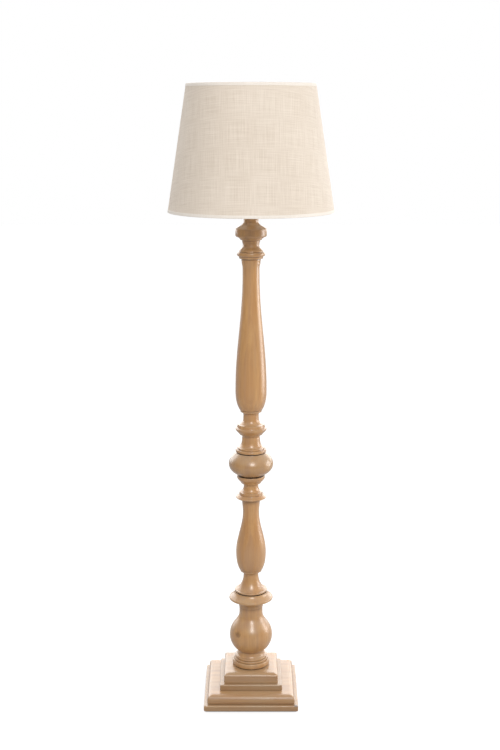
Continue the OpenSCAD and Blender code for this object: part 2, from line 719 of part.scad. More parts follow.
module upper_shade_ring() {
    color("gold") translate([0, 0, upper_ring_z + ring_h]) mirror([0, 0, 1]) shade_ring();
}

module bulb_contact() {
    color("silver") translate([0, 0, tip_z]) rotate_extrude() polygon(concat([[0, 0]],
        trace([[0, tip_d/4, "line"], [tip_round, tip_d/2, "round"],
            [tip_h - tip_round, tip_d/2, "line"]]), [[0, tip_h]]));
}

module bulb_cap() {
    color("silver") translate([0, 0, tip_z + tip_h]) rotate_extrude() polygon([
        [0, 0], [cap_foot_d/2, 0], [cap_d/2 - cap_step, cap_cone_h],
        [cap_d/2, cap_cone_h + cap_step], [cap_d/2, cap_h], [0, cap_h]]);
}

module bulb_glass() {
    base = tip_h + cap_h;
    r = bulb_d/2;
    color("white") translate([0, 0, tip_z + base]) rotate_extrude() polygon(concat([[0, 0]],
        trace([[0, cap_d/2 - glass_in, "line"], [glass_flare_h, cap_d/2 + glass_flare, "ogee"],
            [bulb_h - base - glass_flare_h - r, r, "ogee", 0.5, 0.35], [r, 0, "round"]])));
}

// Outer radius of the shade's linen at a height over its lower rim
function shade_r(h) = (shade_bottom_d + (shade_top_d - shade_bottom_d)*h/shade_h)/2;

// A conical sheet between two depths under the shade's outer face
module shade_wall(depth, t, h0, h1) {
    rotate_extrude($fn = 180) polygon([
        [shade_r(h0) - depth - t, h0], [shade_r(h0) - depth, h0],
        [shade_r(h1) - depth, h1], [shade_r(h1) - depth - t, h1]]);
}

module shade_linen() {
    color("wheat") translate([0, 0, shade_z]) shade_wall(0, linen_t, trim_t, shade_h - trim_t);
}

module shade_liner() {
    color("white") translate([0, 0, shade_z]) shade_wall(linen_t, liner_t, trim_t, shade_h - trim_t);
}

// A point at some depth under the shade's outer face
function at_depth(depth, h) = [shade_r(h) - depth, h];

// A strip folded over a rim: up the shade's outer face, over its edge, round the wire
// that lies behind and back to the liner. way is 1 on the lower rim and -1 on the upper.
module trim(rim, way) {
    fold = rim + way*trim_t;
    over = rim + way*(wire_up + wire_r + fit);
    behind = skin + 2*wire_in;
    color("linen") translate([0, 0, shade_z]) rotate_extrude($fn = 180) polygon([
        at_depth(-trim_t, rim), at_depth(-trim_t, rim + way*trim_w), at_depth(0, rim + way*trim_w),
        at_depth(0, fold), at_depth(behind, fold), at_depth(behind, over), at_depth(skin, over),
        at_depth(skin, over + way*trim_t), at_depth(behind + trim_t, over + way*trim_t),
        at_depth(behind + trim_t, rim)]);
}

module bottom_trim() {
    difference() {
        trim(0, 1);
        color("linen") translate([0, 0, shade_z]) spokes(slip);
    }
}

module top_trim() { trim(shade_h, -1); }

// The wire's centre line, as a radius, at a height over the lower rim
function wire_at(h) = shade_r(h) - skin - wire_in;

module rim_wire(h) {
    translate([0, 0, h]) rotate_extrude($fn = 180) translate([wire_at(h), 0]) circle(wire_r, $fn = 24);
}

module top_wire() {
    color("white") translate([0, 0, shade_z]) rim_wire(shade_h - wire_up);
}

// The spokes' long stretches, from the bends by the carrier's plate down to the wire
module spokes(grow = 0) {
    bend = [ring_r + spoke_bend, carrier_z + carrier_h/2 - shade_z];
    end = [wire_at(wire_up), wire_up];
    fall = atan2(bend[1] - end[1], end[0] - bend[0]);
    for (i = [1:spoke_count]) rotate(spoke_start + 360*i/spoke_count)
        translate([bend[0], 0, bend[1]]) rotate([0, 90 + fall, 0])
            cylinder(r = spoke_d/2 + grow, h = norm(end - bend));
}

module carrier_plate() {
    color("white") translate([0, 0, carrier_z]) ring(holder_r + run_gap, plate_r, carrier_h);
}

// The lower rim's wire with the three spokes, whose short ends meet the plate's edge
module shade_carrier() {
    stub_r = plate_r + fit;
    color("white") translate([0, 0, shade_z]) {
        rim_wire(wire_up);
        spokes();
        for (i = [1:spoke_count]) rotate(spoke_start + 360*i/spoke_count)
            translate([stub_r, 0, carrier_z + carrier_h/2 - shade_z]) {
                length = ring_r + spoke_bend - stub_r;
                rotate([0, 90, 0]) cylinder(r = spoke_d/2, h = length);
                translate([length, 0, 0]) sphere(r = spoke_d/2 + fit);
            }
    }
}

base_felt();
ballast_ring();
ballast_screws();
slab_screws();
block_screws();
plinth_slab();
plinth_moulding();
plinth_step();
plinth_block();
cable_bush();
urn();
lower_baluster();
ball();
upper_baluster();
lamp_tube();
base_washer();
base_nut();
neck_cap();
neck_nut();
holder_cup();
holder_insert();
holder_skirt();
screw_shell();
centre_contact();
switch_bar();
lower_shade_ring();
upper_shade_ring();
bulb_glass();
bulb_cap();
bulb_contact();
carrier_plate();
shade_carrier();
top_wire();
shade_liner();
shade_linen();
bottom_trim();
top_trim();
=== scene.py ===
# Floor lamp: a turned, lime-washed timber column on a stepped plinth, with a linen shade
import math

import bmesh
import bpy
import numpy as np
from mathutils import Matrix, Vector


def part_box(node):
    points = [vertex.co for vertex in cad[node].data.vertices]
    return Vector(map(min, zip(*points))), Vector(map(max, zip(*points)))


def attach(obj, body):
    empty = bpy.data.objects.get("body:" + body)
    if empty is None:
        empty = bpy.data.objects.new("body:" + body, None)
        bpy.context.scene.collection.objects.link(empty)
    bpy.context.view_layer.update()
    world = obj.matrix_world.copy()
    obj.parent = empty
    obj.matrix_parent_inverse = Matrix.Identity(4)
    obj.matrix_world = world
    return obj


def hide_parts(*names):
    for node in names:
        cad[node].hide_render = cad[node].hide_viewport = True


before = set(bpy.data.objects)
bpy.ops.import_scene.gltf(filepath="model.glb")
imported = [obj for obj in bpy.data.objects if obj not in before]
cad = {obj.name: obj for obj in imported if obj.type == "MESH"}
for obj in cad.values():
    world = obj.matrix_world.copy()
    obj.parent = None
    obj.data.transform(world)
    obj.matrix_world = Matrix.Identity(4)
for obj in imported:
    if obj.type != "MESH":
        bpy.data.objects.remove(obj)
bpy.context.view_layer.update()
scene = bpy.context.scene
scene.view_settings.view_transform = "Standard"
print("frame loaded with", len(cad), "solids")


# ---- nodes

class Value:
    # one output of a node: arithmetic with it adds math nodes to its tree
    def __init__(self, socket):
        self.socket = socket

    def __add__(self, other):
        return reckon("ADD", self, other)

    def __sub__(self, other):
        return reckon("SUBTRACT", self, other)

    def __mul__(self, other):
        return reckon("MULTIPLY", self, other)

    def __truediv__(self, other):
        return reckon("DIVIDE", self, other)


class Outputs:
    def __init__(self, node):
        self.node = node

    def __getitem__(self, key):
        return Value(self.node.outputs[key])


def connect(node, inputs):
    for name, value in inputs.items():
        if isinstance(value, Value):
            node.id_data.links.new(value.socket, node.inputs[name])
        else:
            node.inputs[name].default_value = value


def addNode(tree, kind, inputs=None, **settings):
    node = tree.nodes.new(kind)
    for name, value in settings.items():
        setattr(node, name, value)
    connect(node, inputs or {})
    return Outputs(node)


def treeOf(*values):
    return next(value.socket.id_data for value in values if isinstance(value, Value))


def reckon(operation, *values):
    return addNode(treeOf(*values), "ShaderNodeMath", dict(enumerate(values)), operation=operation)[0]


def reckonVector(operation, *values):
    return addNode(treeOf(*values), "ShaderNodeVectorMath", dict(enumerate(values)), operation=operation)


def split(vector):
    parts = addNode(treeOf(vector), "ShaderNodeSeparateXYZ", {0: vector})
    return parts[0], parts[1], parts[2]


def join(x, y, z=0.0):
    return addNode(treeOf(x, y, z), "ShaderNodeCombineXYZ", {0: x, 1: y, 2: z})[0]


def ramp(value, low, high, bottom=0.0, top=1.0):
    # a smooth step from bottom to top while value goes from low to high
    return addNode(treeOf(value), "ShaderNodeMapRange", {0: value, 1: low, 2: high, 3: bottom, 4: top},
                   interpolation_type="SMOOTHSTEP")[0]


def blend(share, first, second):
    return addNode(treeOf(share), "ShaderNodeMix", {0: share, 6: first, 7: second}, data_type="RGBA")[2]


def noise(vector, scale, detail=2.0, roughness=0.5):
    # scale is how many bumps there are to the metre along each axis
    tree = treeOf(vector)
    mapped = addNode(tree, "ShaderNodeMapping", {"Vector": vector, "Scale": scale})[0]
    return addNode(tree, "ShaderNodeTexNoise", {"Vector": mapped, "Scale": 1.0, "Detail": detail,
                   "Roughness": roughness})[0]


def bump(height, strength, distance):
    return addNode(treeOf(height), "ShaderNodeBump", {"Height": height, "Strength": strength,
                   "Distance": distance})[0]


def newTree(kind, name, inputs, outputs):
    # each socket is given by its first value, or by its kind where it has none
    kinds = {bool: "Bool", int: "Int", float: "Float", tuple: "Vector"}
    tree = bpy.data.node_groups.new(name, kind)
    for way, sockets in (("INPUT", inputs), ("OUTPUT", outputs)):
        for label, value in sockets.items():
            bare = isinstance(value, str)
            socket = tree.interface.new_socket(label, in_out=way, socket_type="NodeSocket"
                                               + (value if bare else kinds[type(value)]))
            if not bare:
                socket.default_value = value
    return tree, Outputs(tree.nodes.new("NodeGroupInput")), tree.nodes.new("NodeGroupOutput")


def newMaterial(name, **values):
    material = bpy.data.materials.new(name)
    material.use_nodes = True
    tree = material.node_tree
    tree.nodes.clear()
    shader = tree.nodes.new("ShaderNodeBsdfPrincipled")
    connect(tree.nodes.new("ShaderNodeOutputMaterial"), {0: Value(shader.outputs[0])})
    connect(shader, {key.replace("_", " "): value for key, value in values.items()})
    return material, tree, shader


def useGroup(tree, group, inputs):
    return addNode(tree, "ShaderNodeGroup", inputs, node_tree=group)


def objectSpot(tree):
    return addNode(tree, "ShaderNodeTexCoord")["Object"]


def place(tree, offset=(0, 0, 0), rotation=(0, 0, 0)):
    return addNode(tree, "ShaderNodeMapping", {"Vector": objectSpot(tree), "Location": offset,
                   "Rotation": rotation})[0]


# ---- shader groups

def makeTimberGrain():
    tree, given, result = newTree("ShaderNodeTree", "timberGrain", {
        "Vector": "Vector", "Pith": (0.05, 0.03, 0), "Ring Width": 0.005, "Pale": "Color",
        "Middle": "Color", "Dark": "Color", "Rose": "Color", "Figure": 0.5},
        {"Color": "Color", "Height": "Float", "Pores": "Float"})
    vector = given["Vector"]
    drift = (noise(vector, (9, 9, 1.6), 2) - 0.5)*0.03
    x, y, _ = split(reckonVector("SUBTRACT", vector, given["Pith"])[0])
    away = reckonVector("LENGTH", join(x, y))["Value"]
    rings = reckon("FRACT", (away + drift)/given["Ring Width"])
    late = ramp(rings, 0.35, 0.9)*ramp(rings, 0.93, 1.0, 1.0, 0.0)
    streaks = ramp(noise(vector, (70, 70, 2.2), 3, 0.6), 0.32, 0.68)
    broad = ramp(noise(vector, (46, 46, 1.3), 2, 0.55), 0.42, 0.66)
    fibres = noise(vector, (520, 520, 14), 3, 0.65)
    pores = ramp(noise(vector, (900, 900, 45), 1), 0.6, 0.74)
    colour = blend(streaks, given["Middle"], given["Pale"])
    colour = blend(broad*0.6, colour, given["Rose"])
    colour = blend(late*given["Figure"]*ramp(fibres, 0.2, 0.6, 0.5, 1.0), colour, given["Dark"])
    colour = blend(ramp(fibres, 0.52, 0.75)*0.3, colour, given["Dark"])
    connect(result, {"Color": colour, "Height": fibres*0.5 - pores*0.6, "Pores": pores})
    return tree


def makeLimeWash():
    # a thin grey veil on the timber, thicker on up-facing surfaces where it is partly painted reflection; dark
    # glaze left in the hollows, partly painted shade; edges rubbed pale, partly painted highlight; and
    # near-black painted shadow in the joints
    tree, given, result = newTree("ShaderNodeTree", "limeWash", {
        "Color": "Color", "Vector": "Vector", "Hollow": 0.5, "Pores": 0.0, "Veil": 0.2, "Facing Up": 0.0,
        "Lime": "Color", "Glaze": "Color", "Gap": "Color"}, {"Color": "Color"})
    vector, hollow, facing = given["Vector"], given["Hollow"], given["Facing Up"]
    cloudy = ramp(noise(vector, (22, 22, 9), 3, 0.6), 0.3, 0.72, 0.35, 1.0)
    # more veil on up-facing surfaces and less underneath: lime settled from above, plus painted reflection of
    # the bright space above and painted shade on the undersides
    veil = given["Veil"]*ramp(facing, -0.7, 0.1, 0.3, 1.0) + ramp(facing, 0.05, 0.9, 0.0, 0.28)
    colour = blend(veil*cloudy + given["Pores"]*0.12, given["Color"], given["Lime"])
    patchy = ramp(noise(vector, (60, 60, 40), 2), 0.25, 0.7, 0.55, 1.0)
    # darker in concave corners: glaze left in the hollows, and partly painted shade there
    colour = blend(ramp(hollow, 0.6, 0.95)*patchy*0.75, colour, given["Glaze"])
    # paler on convex edges: rubbed wear, and partly a painted highlight along the edges
    colour = blend(ramp(hollow, 0.42, 0.12)*patchy*0.3, colour, given["Lime"])
    # near-black painted shadow where hollow is past 1: the joint grooves and the top face under the next piece
    colour = blend(ramp(hollow, 1.0, 1.4, 0.0, 0.97), colour, given["Gap"])
    connect(result, {"Color": colour})
    return tree


def makePlainWeave():
    # Vector is in metres on the flat cloth
    tree, given, result = newTree("ShaderNodeTree", "plainWeave", {
        "Vector": "Vector", "Thread": 0.0007, "Slubs": 0.5}, {"Tone": "Float", "Height": "Float"})
    vector = given["Vector"]
    across, along = (part/given["Thread"] for part in split(vector)[:2])

    def threads(side, other, turn):
        arch = reckon("ABSOLUTE", reckon("SINE", side*math.pi))
        wave = reckon("SINE", (other + reckon("FLOOR", side))*math.pi)
        return arch*(wave*turn + 0.5)
    height = reckon("MAXIMUM", threads(across, along, 0.5), threads(along, across, -0.5))
    upright = noise(vector, (620, 14, 1), 2, 0.6)
    level = noise(vector, (14, 620, 1), 2, 0.6)
    thick = (upright + level - 1.0)*given["Slubs"]
    cloudy = noise(vector, (7, 7, 1), 2) - 0.5
    connect(result, {"Tone": cloudy*0.15 + (height*0.22 + 0.42 + thick), "Height": thick*0.8 + height})
    return tree


def makeHandling():
    # faint smears and scuffs: a roughness round Middle, and a little height
    tree, given, result = newTree("ShaderNodeTree", "handling", {
        "Vector": "Vector", "Grain": (60, 60, 60), "Middle": 0.3, "Spread": 0.1},
        {"Roughness": "Float", "Height": "Float"})
    fine = noise(given["Vector"], given["Grain"], 4, 0.6)
    wide = noise(given["Vector"], (13, 13, 13), 2)
    connect(result, {"Roughness": (fine + wide - 1.0)*given["Spread"] + given["Middle"], "Height": fine})
    return tree


timberGrain = makeTimberGrain()
limeWash = makeLimeWash()
plainWeave = makePlainWeave()
handling = makeHandling()
print("shader groups ready")


# ---- materials

# lime also carries the painted reflection on up-facing surfaces and the painted highlight on edges; glaze is
# partly painted shade in the hollows; gap is the near-black of painted shadow at the joints
timber = {"pale": (0.560, 0.300, 0.108), "middle": (0.480, 0.236, 0.080), "dark": (0.300, 0.135, 0.050),
          "rose": (0.420, 0.220, 0.105), "lime": (0.420, 0.305, 0.190), "glaze": (0.070, 0.030, 0.014),
          "gap": (0.012, 0.005, 0.003), "roughness": 0.36, "coat": 0.6, "coatRoughness": 0.26,
          "boardVeil": 0.34, "boardFigure": 0.35}
# each mark has its middle, its reach, its turn and its darkness
knot = ((-0.037, -0.0445, 0.187), (0.012, 0.011, 0.012), (0, 0.5, 0), 0.45)
crack = ((0.1205, -0.1235, 0.0175), (0.0095, 0.006, 0.005), (0, 0, 0), 1.0)


def opaque(colour, depth=1.0):
    return tuple(depth*part for part in colour) + (1,)


def addMark(colour, middle, reach, turned, darkness):
    # a dark, frayed patch round a point
    tree = treeOf(colour)
    position = objectSpot(tree)
    away = addNode(tree, "ShaderNodeMapping", {"Vector": reckonVector("SUBTRACT", position, middle)[0],
                   "Rotation": turned, "Scale": tuple(1/part for part in reach)})[0]
    frayed = (noise(position, (260, 260, 120), 3, 0.7) - 0.5)*1.7
    distance = frayed + reckonVector("LENGTH", away)["Value"]
    return blend(ramp(distance, 0.35, 0.95, 1.0, 0.0)*darkness, colour, opaque(timber["glaze"]))


def makeWood(name, offset, veil, figure=0.12, ringWidth=0.006, pith=(0.055, 0.03, 0), rotation=(0, 0, 0),
             depth=1.0, mark=None):
    # depth below 1 makes darker timber; on the plinth's layers this darkening is painted shade
    material, tree, shader = newMaterial(name, Coat_Weight=timber["coat"],
                                         Coat_Roughness=timber["coatRoughness"])
    vector = place(tree, offset, rotation)
    tones = {key.capitalize(): opaque(timber[key], depth) for key in ("pale", "middle", "dark", "rose")}
    grain = useGroup(tree, timberGrain, {"Vector": vector, "Pith": pith, "Ring Width": ringWidth,
                     "Figure": figure, **tones})
    hollow, facing = (addNode(tree, "ShaderNodeAttribute", attribute_name=key)["Fac"]
                      for key in ("hollow", "facingUp"))
    washes = {key.capitalize(): opaque(timber[key]) for key in ("lime", "glaze", "gap")}
    colour = useGroup(tree, limeWash, {"Color": grain["Color"], "Vector": vector, "Hollow": hollow,
                      "Pores": grain["Pores"], "Veil": veil, "Facing Up": facing, **washes})["Color"]
    if mark:
        colour = addMark(colour, *mark)
    wear = useGroup(tree, handling, {"Vector": vector, "Grain": (90, 90, 30),
                    "Middle": timber["roughness"], "Spread": 0.12})
    connect(shader, {"Base Color": colour, "Roughness": wear["Roughness"],
                     "Normal": bump(grain["Height"], 0.12, 0.0004)})
    return material


def makeBoard(name, offset, ringWidth, pith, depth, mark=None):
    return makeWood(name, offset, timber["boardVeil"], timber["boardFigure"], ringWidth, pith,
                    (0, math.radians(90), 0), depth, mark)


def makePlain(name, colour, roughness, spread=0.08, grain=(60, 60, 60), relief=0.05, variety=0.06, **values):
    # paint, plastic, metal and glaze: faint clouds of tone, smears and fine relief
    material, tree, shader = newMaterial(name, **values)
    vector = place(tree)
    wear = useGroup(tree, handling, {"Vector": vector, "Grain": grain, "Middle": roughness, "Spread": spread})
    cloudy = ramp(noise(vector, (35, 35, 35), 3), 0.3, 0.7, 1 - variety, 1 + variety)
    tinted = addNode(tree, "ShaderNodeVectorMath", {0: colour, "Scale": cloudy}, operation="SCALE")[0]
    connect(shader, {"Base Color": tinted, "Roughness": wear["Roughness"],
                     "Normal": bump(wear["Height"], relief, 0.0003)})
    return material


def makeCloth(name, pale, deep, uvName, thread, slubs):
    material, tree, shader = newMaterial(name, Roughness=0.9, Specular_IOR_Level=0.2, Sheen_Weight=0.15)
    flat = addNode(tree, "ShaderNodeUVMap", uv_map=uvName)[0]
    weave = useGroup(tree, plainWeave, {"Vector": flat, "Thread": thread, "Slubs": slubs})
    connect(shader, {"Base Color": blend(ramp(weave["Tone"], 0.2, 0.8), opaque(deep), opaque(pale)),
                     "Normal": bump(weave["Height"], 0.35, 0.0002)})
    return material


def makeFelt():
    material, tree, shader = newMaterial("pressedFelt", Roughness=0.96, Sheen_Weight=0.4,
                                         Specular_IOR_Level=0.15)
    vector = place(tree)
    share = (noise(vector, (900, 900, 900), 4, 0.7) + noise(vector, (120, 120, 120), 3, 0.6))*0.5
    colour = blend(ramp(share, 0.3, 0.7), (0.030, 0.026, 0.022, 1), (0.085, 0.072, 0.062, 1))
    connect(shader, {"Base Color": colour, "Normal": bump(share, 0.6, 0.0006)})
    return material


urnWood = makeWood("urnWood", (0.3, 0.1, 0.2), 0.3, mark=knot)
lowerWood = makeWood("lowerWood", (0.9, 0.4, 1.1), 0.14, pith=(-0.05, 0.045, 0))
ballWood = makeWood("ballWood", (2.3, 0.7, 0.4), 0.42, pith=(0.04, 0.05, 0), depth=0.86)
upperWood = makeWood("upperWood", (0.1, 1.7, 2.2), 0.12, pith=(0.06, 0.05, 0))
# the plinth's layers are darker copies of the timber, the step darkest: painted shade under each overhang
slabWood = makeBoard("slabWood", (1.2, 0.3, 0.5), 0.007, (0.12, 0.9, 0), 0.80, crack)
mouldingWood = makeBoard("mouldingWood", (2.2, 1.3, 0.1), 0.008, (0.2, 0.7, 0), 0.84)
stepWood = makeBoard("stepWood", (0.2, 2.3, 1.4), 0.006, (0.1, 0.5, 0), 0.68)
blockWood = makeBoard("blockWood", (1.7, 0.9, 2.5), 0.008, (0.15, 0.6, 0), 0.88)
linenCloth = makeCloth("linenCloth", (0.80, 0.71, 0.61), (0.60, 0.50, 0.40), "cut", 0.0007, 0.55)
trimCloth = makeCloth("trimCloth", (0.88, 0.82, 0.75), (0.72, 0.64, 0.55), "wrap", 0.0005, 0.4)
linerCard = makePlain("linerCard", (0.86, 0.84, 0.80), 0.7, grain=(220, 220, 220), relief=0.04, variety=0.02)
whitePaint = makePlain("whitePaint", (0.84, 0.84, 0.82), 0.42, grain=(400, 400, 400), relief=0.1, variety=0.02)
satinBrass = makePlain("satinBrass", (0.80, 0.58, 0.28), 0.26, 0.12, (90, 90, 700), 0.06, 0.08, Metallic=1.0)
porcelain = makePlain("porcelain", (0.88, 0.87, 0.84), 0.16, variety=0.02, Coat_Weight=0.4)
capMetal = makePlain("capMetal", (0.78, 0.78, 0.80), 0.22, 0.12, (80, 80, 600), 0.05, 0.05, Metallic=1.0)
solder = makePlain("solder", (0.50, 0.50, 0.52), 0.5, 0.1, (300, 300, 300), 0.3, 0.15, Metallic=1.0)
opalGlass = makePlain("opalGlass", (0.90, 0.90, 0.88), 0.16, 0.05, relief=0.01, variety=0.01,
                      Coat_Weight=0.5, Subsurface_Weight=0.3, Subsurface_Scale=0.01)
zincPlate = makePlain("zincPlate", (0.62, 0.63, 0.66), 0.34, 0.14, (150, 150, 150), 0.08, 0.1, Metallic=1.0)
rawIron = makePlain("rawIron", (0.13, 0.125, 0.12), 0.62, 0.2, (260, 260, 260), 0.5, 0.3, Metallic=0.6)
darkPlastic = makePlain("darkPlastic", (0.045, 0.032, 0.024), 0.42, 0.12, (500, 500, 500), 0.12, 0.1)
blackGlass = makePlain("blackGlass", (0.012, 0.012, 0.014), 0.12, 0.05, variety=0.1)
pressedFelt = makeFelt()
print("materials ready")


# ---- turning: an outline swept round the axis, or round a square with eased corners

def geometryAdder(tree):
    def add(kind, inputs=None, **settings):
        return addNode(tree, "GeometryNode" + kind, inputs, **settings)[0]
    return add


def makeTurningTree():
    tree, given, result = newTree("GeometryNodeTree", "turning", {
        "Outline": "Geometry", "Segments": 128, "Square": False, "Corner Radius": 0.003, "Girth": 1.0,
        "Flutes": 0, "Flute Depth": 0.0, "Thread Depth": 0.0, "Thread Pitch": 0.003629, "Band From": 0.0,
        "Band To": 0.0, "Band Fade": 0.0005, "Band Radius": 0.0, "Finish": "Material"},
        {"Piece": "Geometry"})
    add = geometryAdder(tree)
    outline, segments = given["Outline"], given["Segments"]
    count = addNode(tree, "GeometryNodeAttributeDomainSize", {0: outline})["Point Count"]
    last = count - 1.0
    grid = add("MeshGrid", {"Size X": last, "Size Y": 1.0, "Vertices X": count,
               "Vertices Y": segments + 1.0})
    x, y, _ = split(add("InputPosition"))
    row = reckon("ROUND", last*0.5 + x)
    share = y + 0.5

    def sampled(kind, value):
        return add("SampleIndex", {"Geometry": outline, "Value": value, "Index": row}, data_type=kind,
                   domain="POINT")

    def named(name):
        return sampled("FLOAT", add("InputNamedAttribute", {"Name": name}, data_type="FLOAT"))
    radius, _, height = split(sampled("FLOAT_VECTOR", add("InputPosition")))
    angle = share*(2*math.pi) + math.pi/2

    # flutes and a thread, inside one band of heights and outside one radius
    fade = given["Band Fade"]
    band = ramp(height - given["Band From"], 0.0, fade)*ramp(given["Band To"] - height, 0.0, fade)
    band = band*reckon("GREATER_THAN", radius, given["Band Radius"])
    flute = reckon("MAXIMUM", reckon("COSINE", angle*given["Flutes"]), 0.0)
    rise = height/given["Thread Pitch"] - share
    wave = reckon("COSINE", rise*(2*math.pi))*0.5 - 0.5
    radius = band*(wave*given["Thread Depth"] - flute*given["Flute Depth"]) + radius
    roundSpot = join(radius*reckon("COSINE", angle), radius*reckon("SINE", angle), height)

    # on a square each corner is a quarter circle, and the sides run straight between them
    steps = segments/4.0
    step = reckon("ROUND", share*segments)
    corner = reckon("FLOOR", (step + 0.001)/steps)
    within = (step - corner*steps)/(steps - 1.0)
    turned = (corner + within)*(math.pi/2)
    middle = corner*(math.pi/2) + math.pi/4
    eased = reckon("MINIMUM", radius, given["Corner Radius"])
    arm = (radius - eased)*math.sqrt(2)
    squareSpot = join(*(reckon(function, middle)*arm + reckon(function, turned)*eased
                        for function in ("COSINE", "SINE")), height)
    chosen = add("Switch", {"Switch": given["Square"], "False": roundSpot, "True": squareSpot},
                 input_type="VECTOR")

    wrap = join(share*given["Girth"], named("along"))
    shape = add("StoreNamedAttribute", {"Geometry": grid, "Name": "wrap", "Value": wrap},
                data_type="FLOAT2", domain="CORNER")
    for name in ("hollow", "facingUp"):
        shape = add("StoreNamedAttribute", {"Geometry": shape, "Name": name, "Value": named(name)},
                    data_type="FLOAT", domain="POINT")
    shape = add("SetPosition", {"Geometry": shape, "Position": chosen})
    shape = add("MergeByDistance", {"Geometry": shape, "Distance": 0.000004})
    shape = add("RealizeInstances", {"Geometry": shape})
    connect(result, {"Piece": add("SetMaterial", {"Geometry": shape, "Material": given["Finish"]})})
    return tree


turningTree = makeTurningTree()


def newPiece(name, mesh):
    piece = bpy.data.objects.new(name, mesh)
    scene.collection.objects.link(piece)
    return piece


def settle(piece):
    # the evaluated result becomes the piece's own plain mesh
    depsgraph = bpy.context.evaluated_depsgraph_get()
    mesh = bpy.data.meshes.new_from_object(piece.evaluated_get(depsgraph), preserve_all_data_layers=True,
                                           depsgraph=depsgraph)
    piece.modifiers.clear()
    piece.data = mesh
    mesh.name = piece.name


def shapeWith(piece, tree, values):
    modifier = piece.modifiers.new(tree.name, "NODES")
    modifier.node_group = tree
    sockets = {item.name: item.identifier for item in tree.interface.items_tree if item.in_out == "INPUT"}
    for name, value in values.items():
        modifier[sockets[name]] = value
    settle(piece)
    faceOutwards(piece.data)


def weighNormals(piece):
    piece.modifiers.new("weigh", "WEIGHTED_NORMAL").keep_sharp = True
    settle(piece)


def faceOutwards(mesh):
    # a closed mesh whose volume comes out negative is inside out
    triangles = np.zeros(len(mesh.loop_triangles)*3, int)
    mesh.loop_triangles.foreach_get("vertices", triangles)
    spots = np.zeros(len(mesh.vertices)*3)
    mesh.vertices.foreach_get("co", spots)
    corners = spots.reshape(-1, 3)[triangles.reshape(-1, 3)]
    if np.einsum("ij,ij->i", corners[:, 0], np.cross(corners[:, 1], corners[:, 2])).sum() < 0:
        mesh.flip_normals()


def soften(points, radius):
    # rounds each corner of an outline with a small arc; radius may be one value for each point
    radii = radius if isinstance(radius, list) else [radius]*len(points)
    result = [points[0]]
    for index in range(1, len(points) - 1):
        before, here, after = (Vector(point) for point in points[index - 1:index + 2])
        inward, outward = here - before, after - here
        turn = abs(inward.angle_signed(outward, 0))
        if turn < 0.35 or radii[index] == 0:
            result.append(tuple(here))
            continue
        reach = min(radii[index]*math.tan(min(turn, 2.6)/2), 0.45*inward.length, 0.45*outward.length)
        first, second = here - inward.normalized()*reach, here + outward.normalized()*reach
        for share in (0, 0.25, 0.5, 0.75, 1):
            result.append(tuple(first*(1 - share)**2 + here*2*share*(1 - share) + second*share**2))
    result.append(points[-1])
    return result


def looped(points, radius):
    # an outline that ends where it starts, for a piece with a bore
    return soften(points + points[:1], radius)


def capped(points, radius, low=0, inset=0.001):
    # an outline closed at the axis, below and above
    top = points[-1][1]
    return [(0, low)] + soften([(inset, low)] + points + [(inset, top)], radius) + [(0, top)]


def makeOutline(name, points, shadowGaps):
    # the outline as a line of edges, with its length so far, how hollow it is at each point and how far it
    # faces upwards; the last argument gives the lowest, highest and widest of the places painted near-black as
    # shadow
    spots = np.array(points)
    steps = np.diff(spots, axis=0)
    lengths = np.linalg.norm(steps, axis=1)
    along = np.concatenate([[0], np.cumsum(lengths)])
    cross = steps[:-1, 0]*steps[1:, 1] - steps[:-1, 1]*steps[1:, 0]
    turns = np.zeros(len(spots))
    turns[1:-1] = np.arctan2(cross, (steps[:-1]*steps[1:]).sum(1))
    spread = np.exp(-((along[:, None] - along[None, :])/0.0016)**2)
    hollow = np.clip(0.5 - 0.36*(spread*turns[None, :]).sum(1), 0, 1)
    # a hollow of 1.6 marks painted shadow
    for lowest, highest, widest in shadowGaps:
        hollow[(spots[:, 1] >= lowest) & (spots[:, 1] <= highest) & (spots[:, 0] <= widest)] = 1.6
    slope = -steps[:, 0]/np.maximum(lengths, 1e-7)
    facingUp = (np.concatenate([slope[:1], slope]) + np.concatenate([slope, slope[-1:]]))/2
    mesh = bpy.data.meshes.new(name)
    mesh.from_pydata([(x, 0, z) for x, z in points], [(i, i + 1) for i in range(len(points) - 1)], [])
    for label, values in (("along", along), ("hollow", hollow), ("facingUp", facingUp)):
        mesh.attributes.new(label, "FLOAT", "POINT").data.foreach_set("value", values.astype(np.float32))
    return newPiece(name, mesh)


def turn(name, points, finish, base=0.0, crease=40, weigh=False, shadowGaps=(), **values):
    kept = [tuple(points[0])]
    for point in points[1:]:
        if math.dist(point, kept[-1]) > 0.00002:
            kept.append(tuple(point))
    piece = makeOutline(name, [(x, z + base) for x, z in kept],
                        [(low + base, high + base, widest) for low, high, widest in shadowGaps])
    values = {key.replace("_", " "): value for key, value in values.items()}
    shapeWith(piece, turningTree, {**values, "Finish": finish})
    piece.data.shade_smooth()
    piece.data.set_sharp_from_angle(angle=math.radians(crease))
    if weigh:
        weighNormals(piece)
    return piece


def drill(piece, holes):
    # holes are (middle, axis, radius at one end, radius at the other, depth)
    sheet = bmesh.new()
    for middle, axis, first, second, depth in holes:
        spin = Vector((0, 0, 1)).rotation_difference(Vector(axis)).to_matrix().to_4x4()
        bmesh.ops.create_cone(sheet, cap_ends=True, segments=64, radius1=first, radius2=second,
                              depth=depth, matrix=Matrix.Translation(middle) @ spin)
    mesh = bpy.data.meshes.new("cutter")
    sheet.to_mesh(mesh)
    sheet.free()
    cutter = newPiece("cutter", mesh)
    boolean = piece.modifiers.new("drill", "BOOLEAN")
    boolean.operation = "DIFFERENCE"
    boolean.solver = "EXACT"
    boolean.use_self = True
    boolean.object = cutter
    settle(piece)
    bpy.data.objects.remove(cutter)


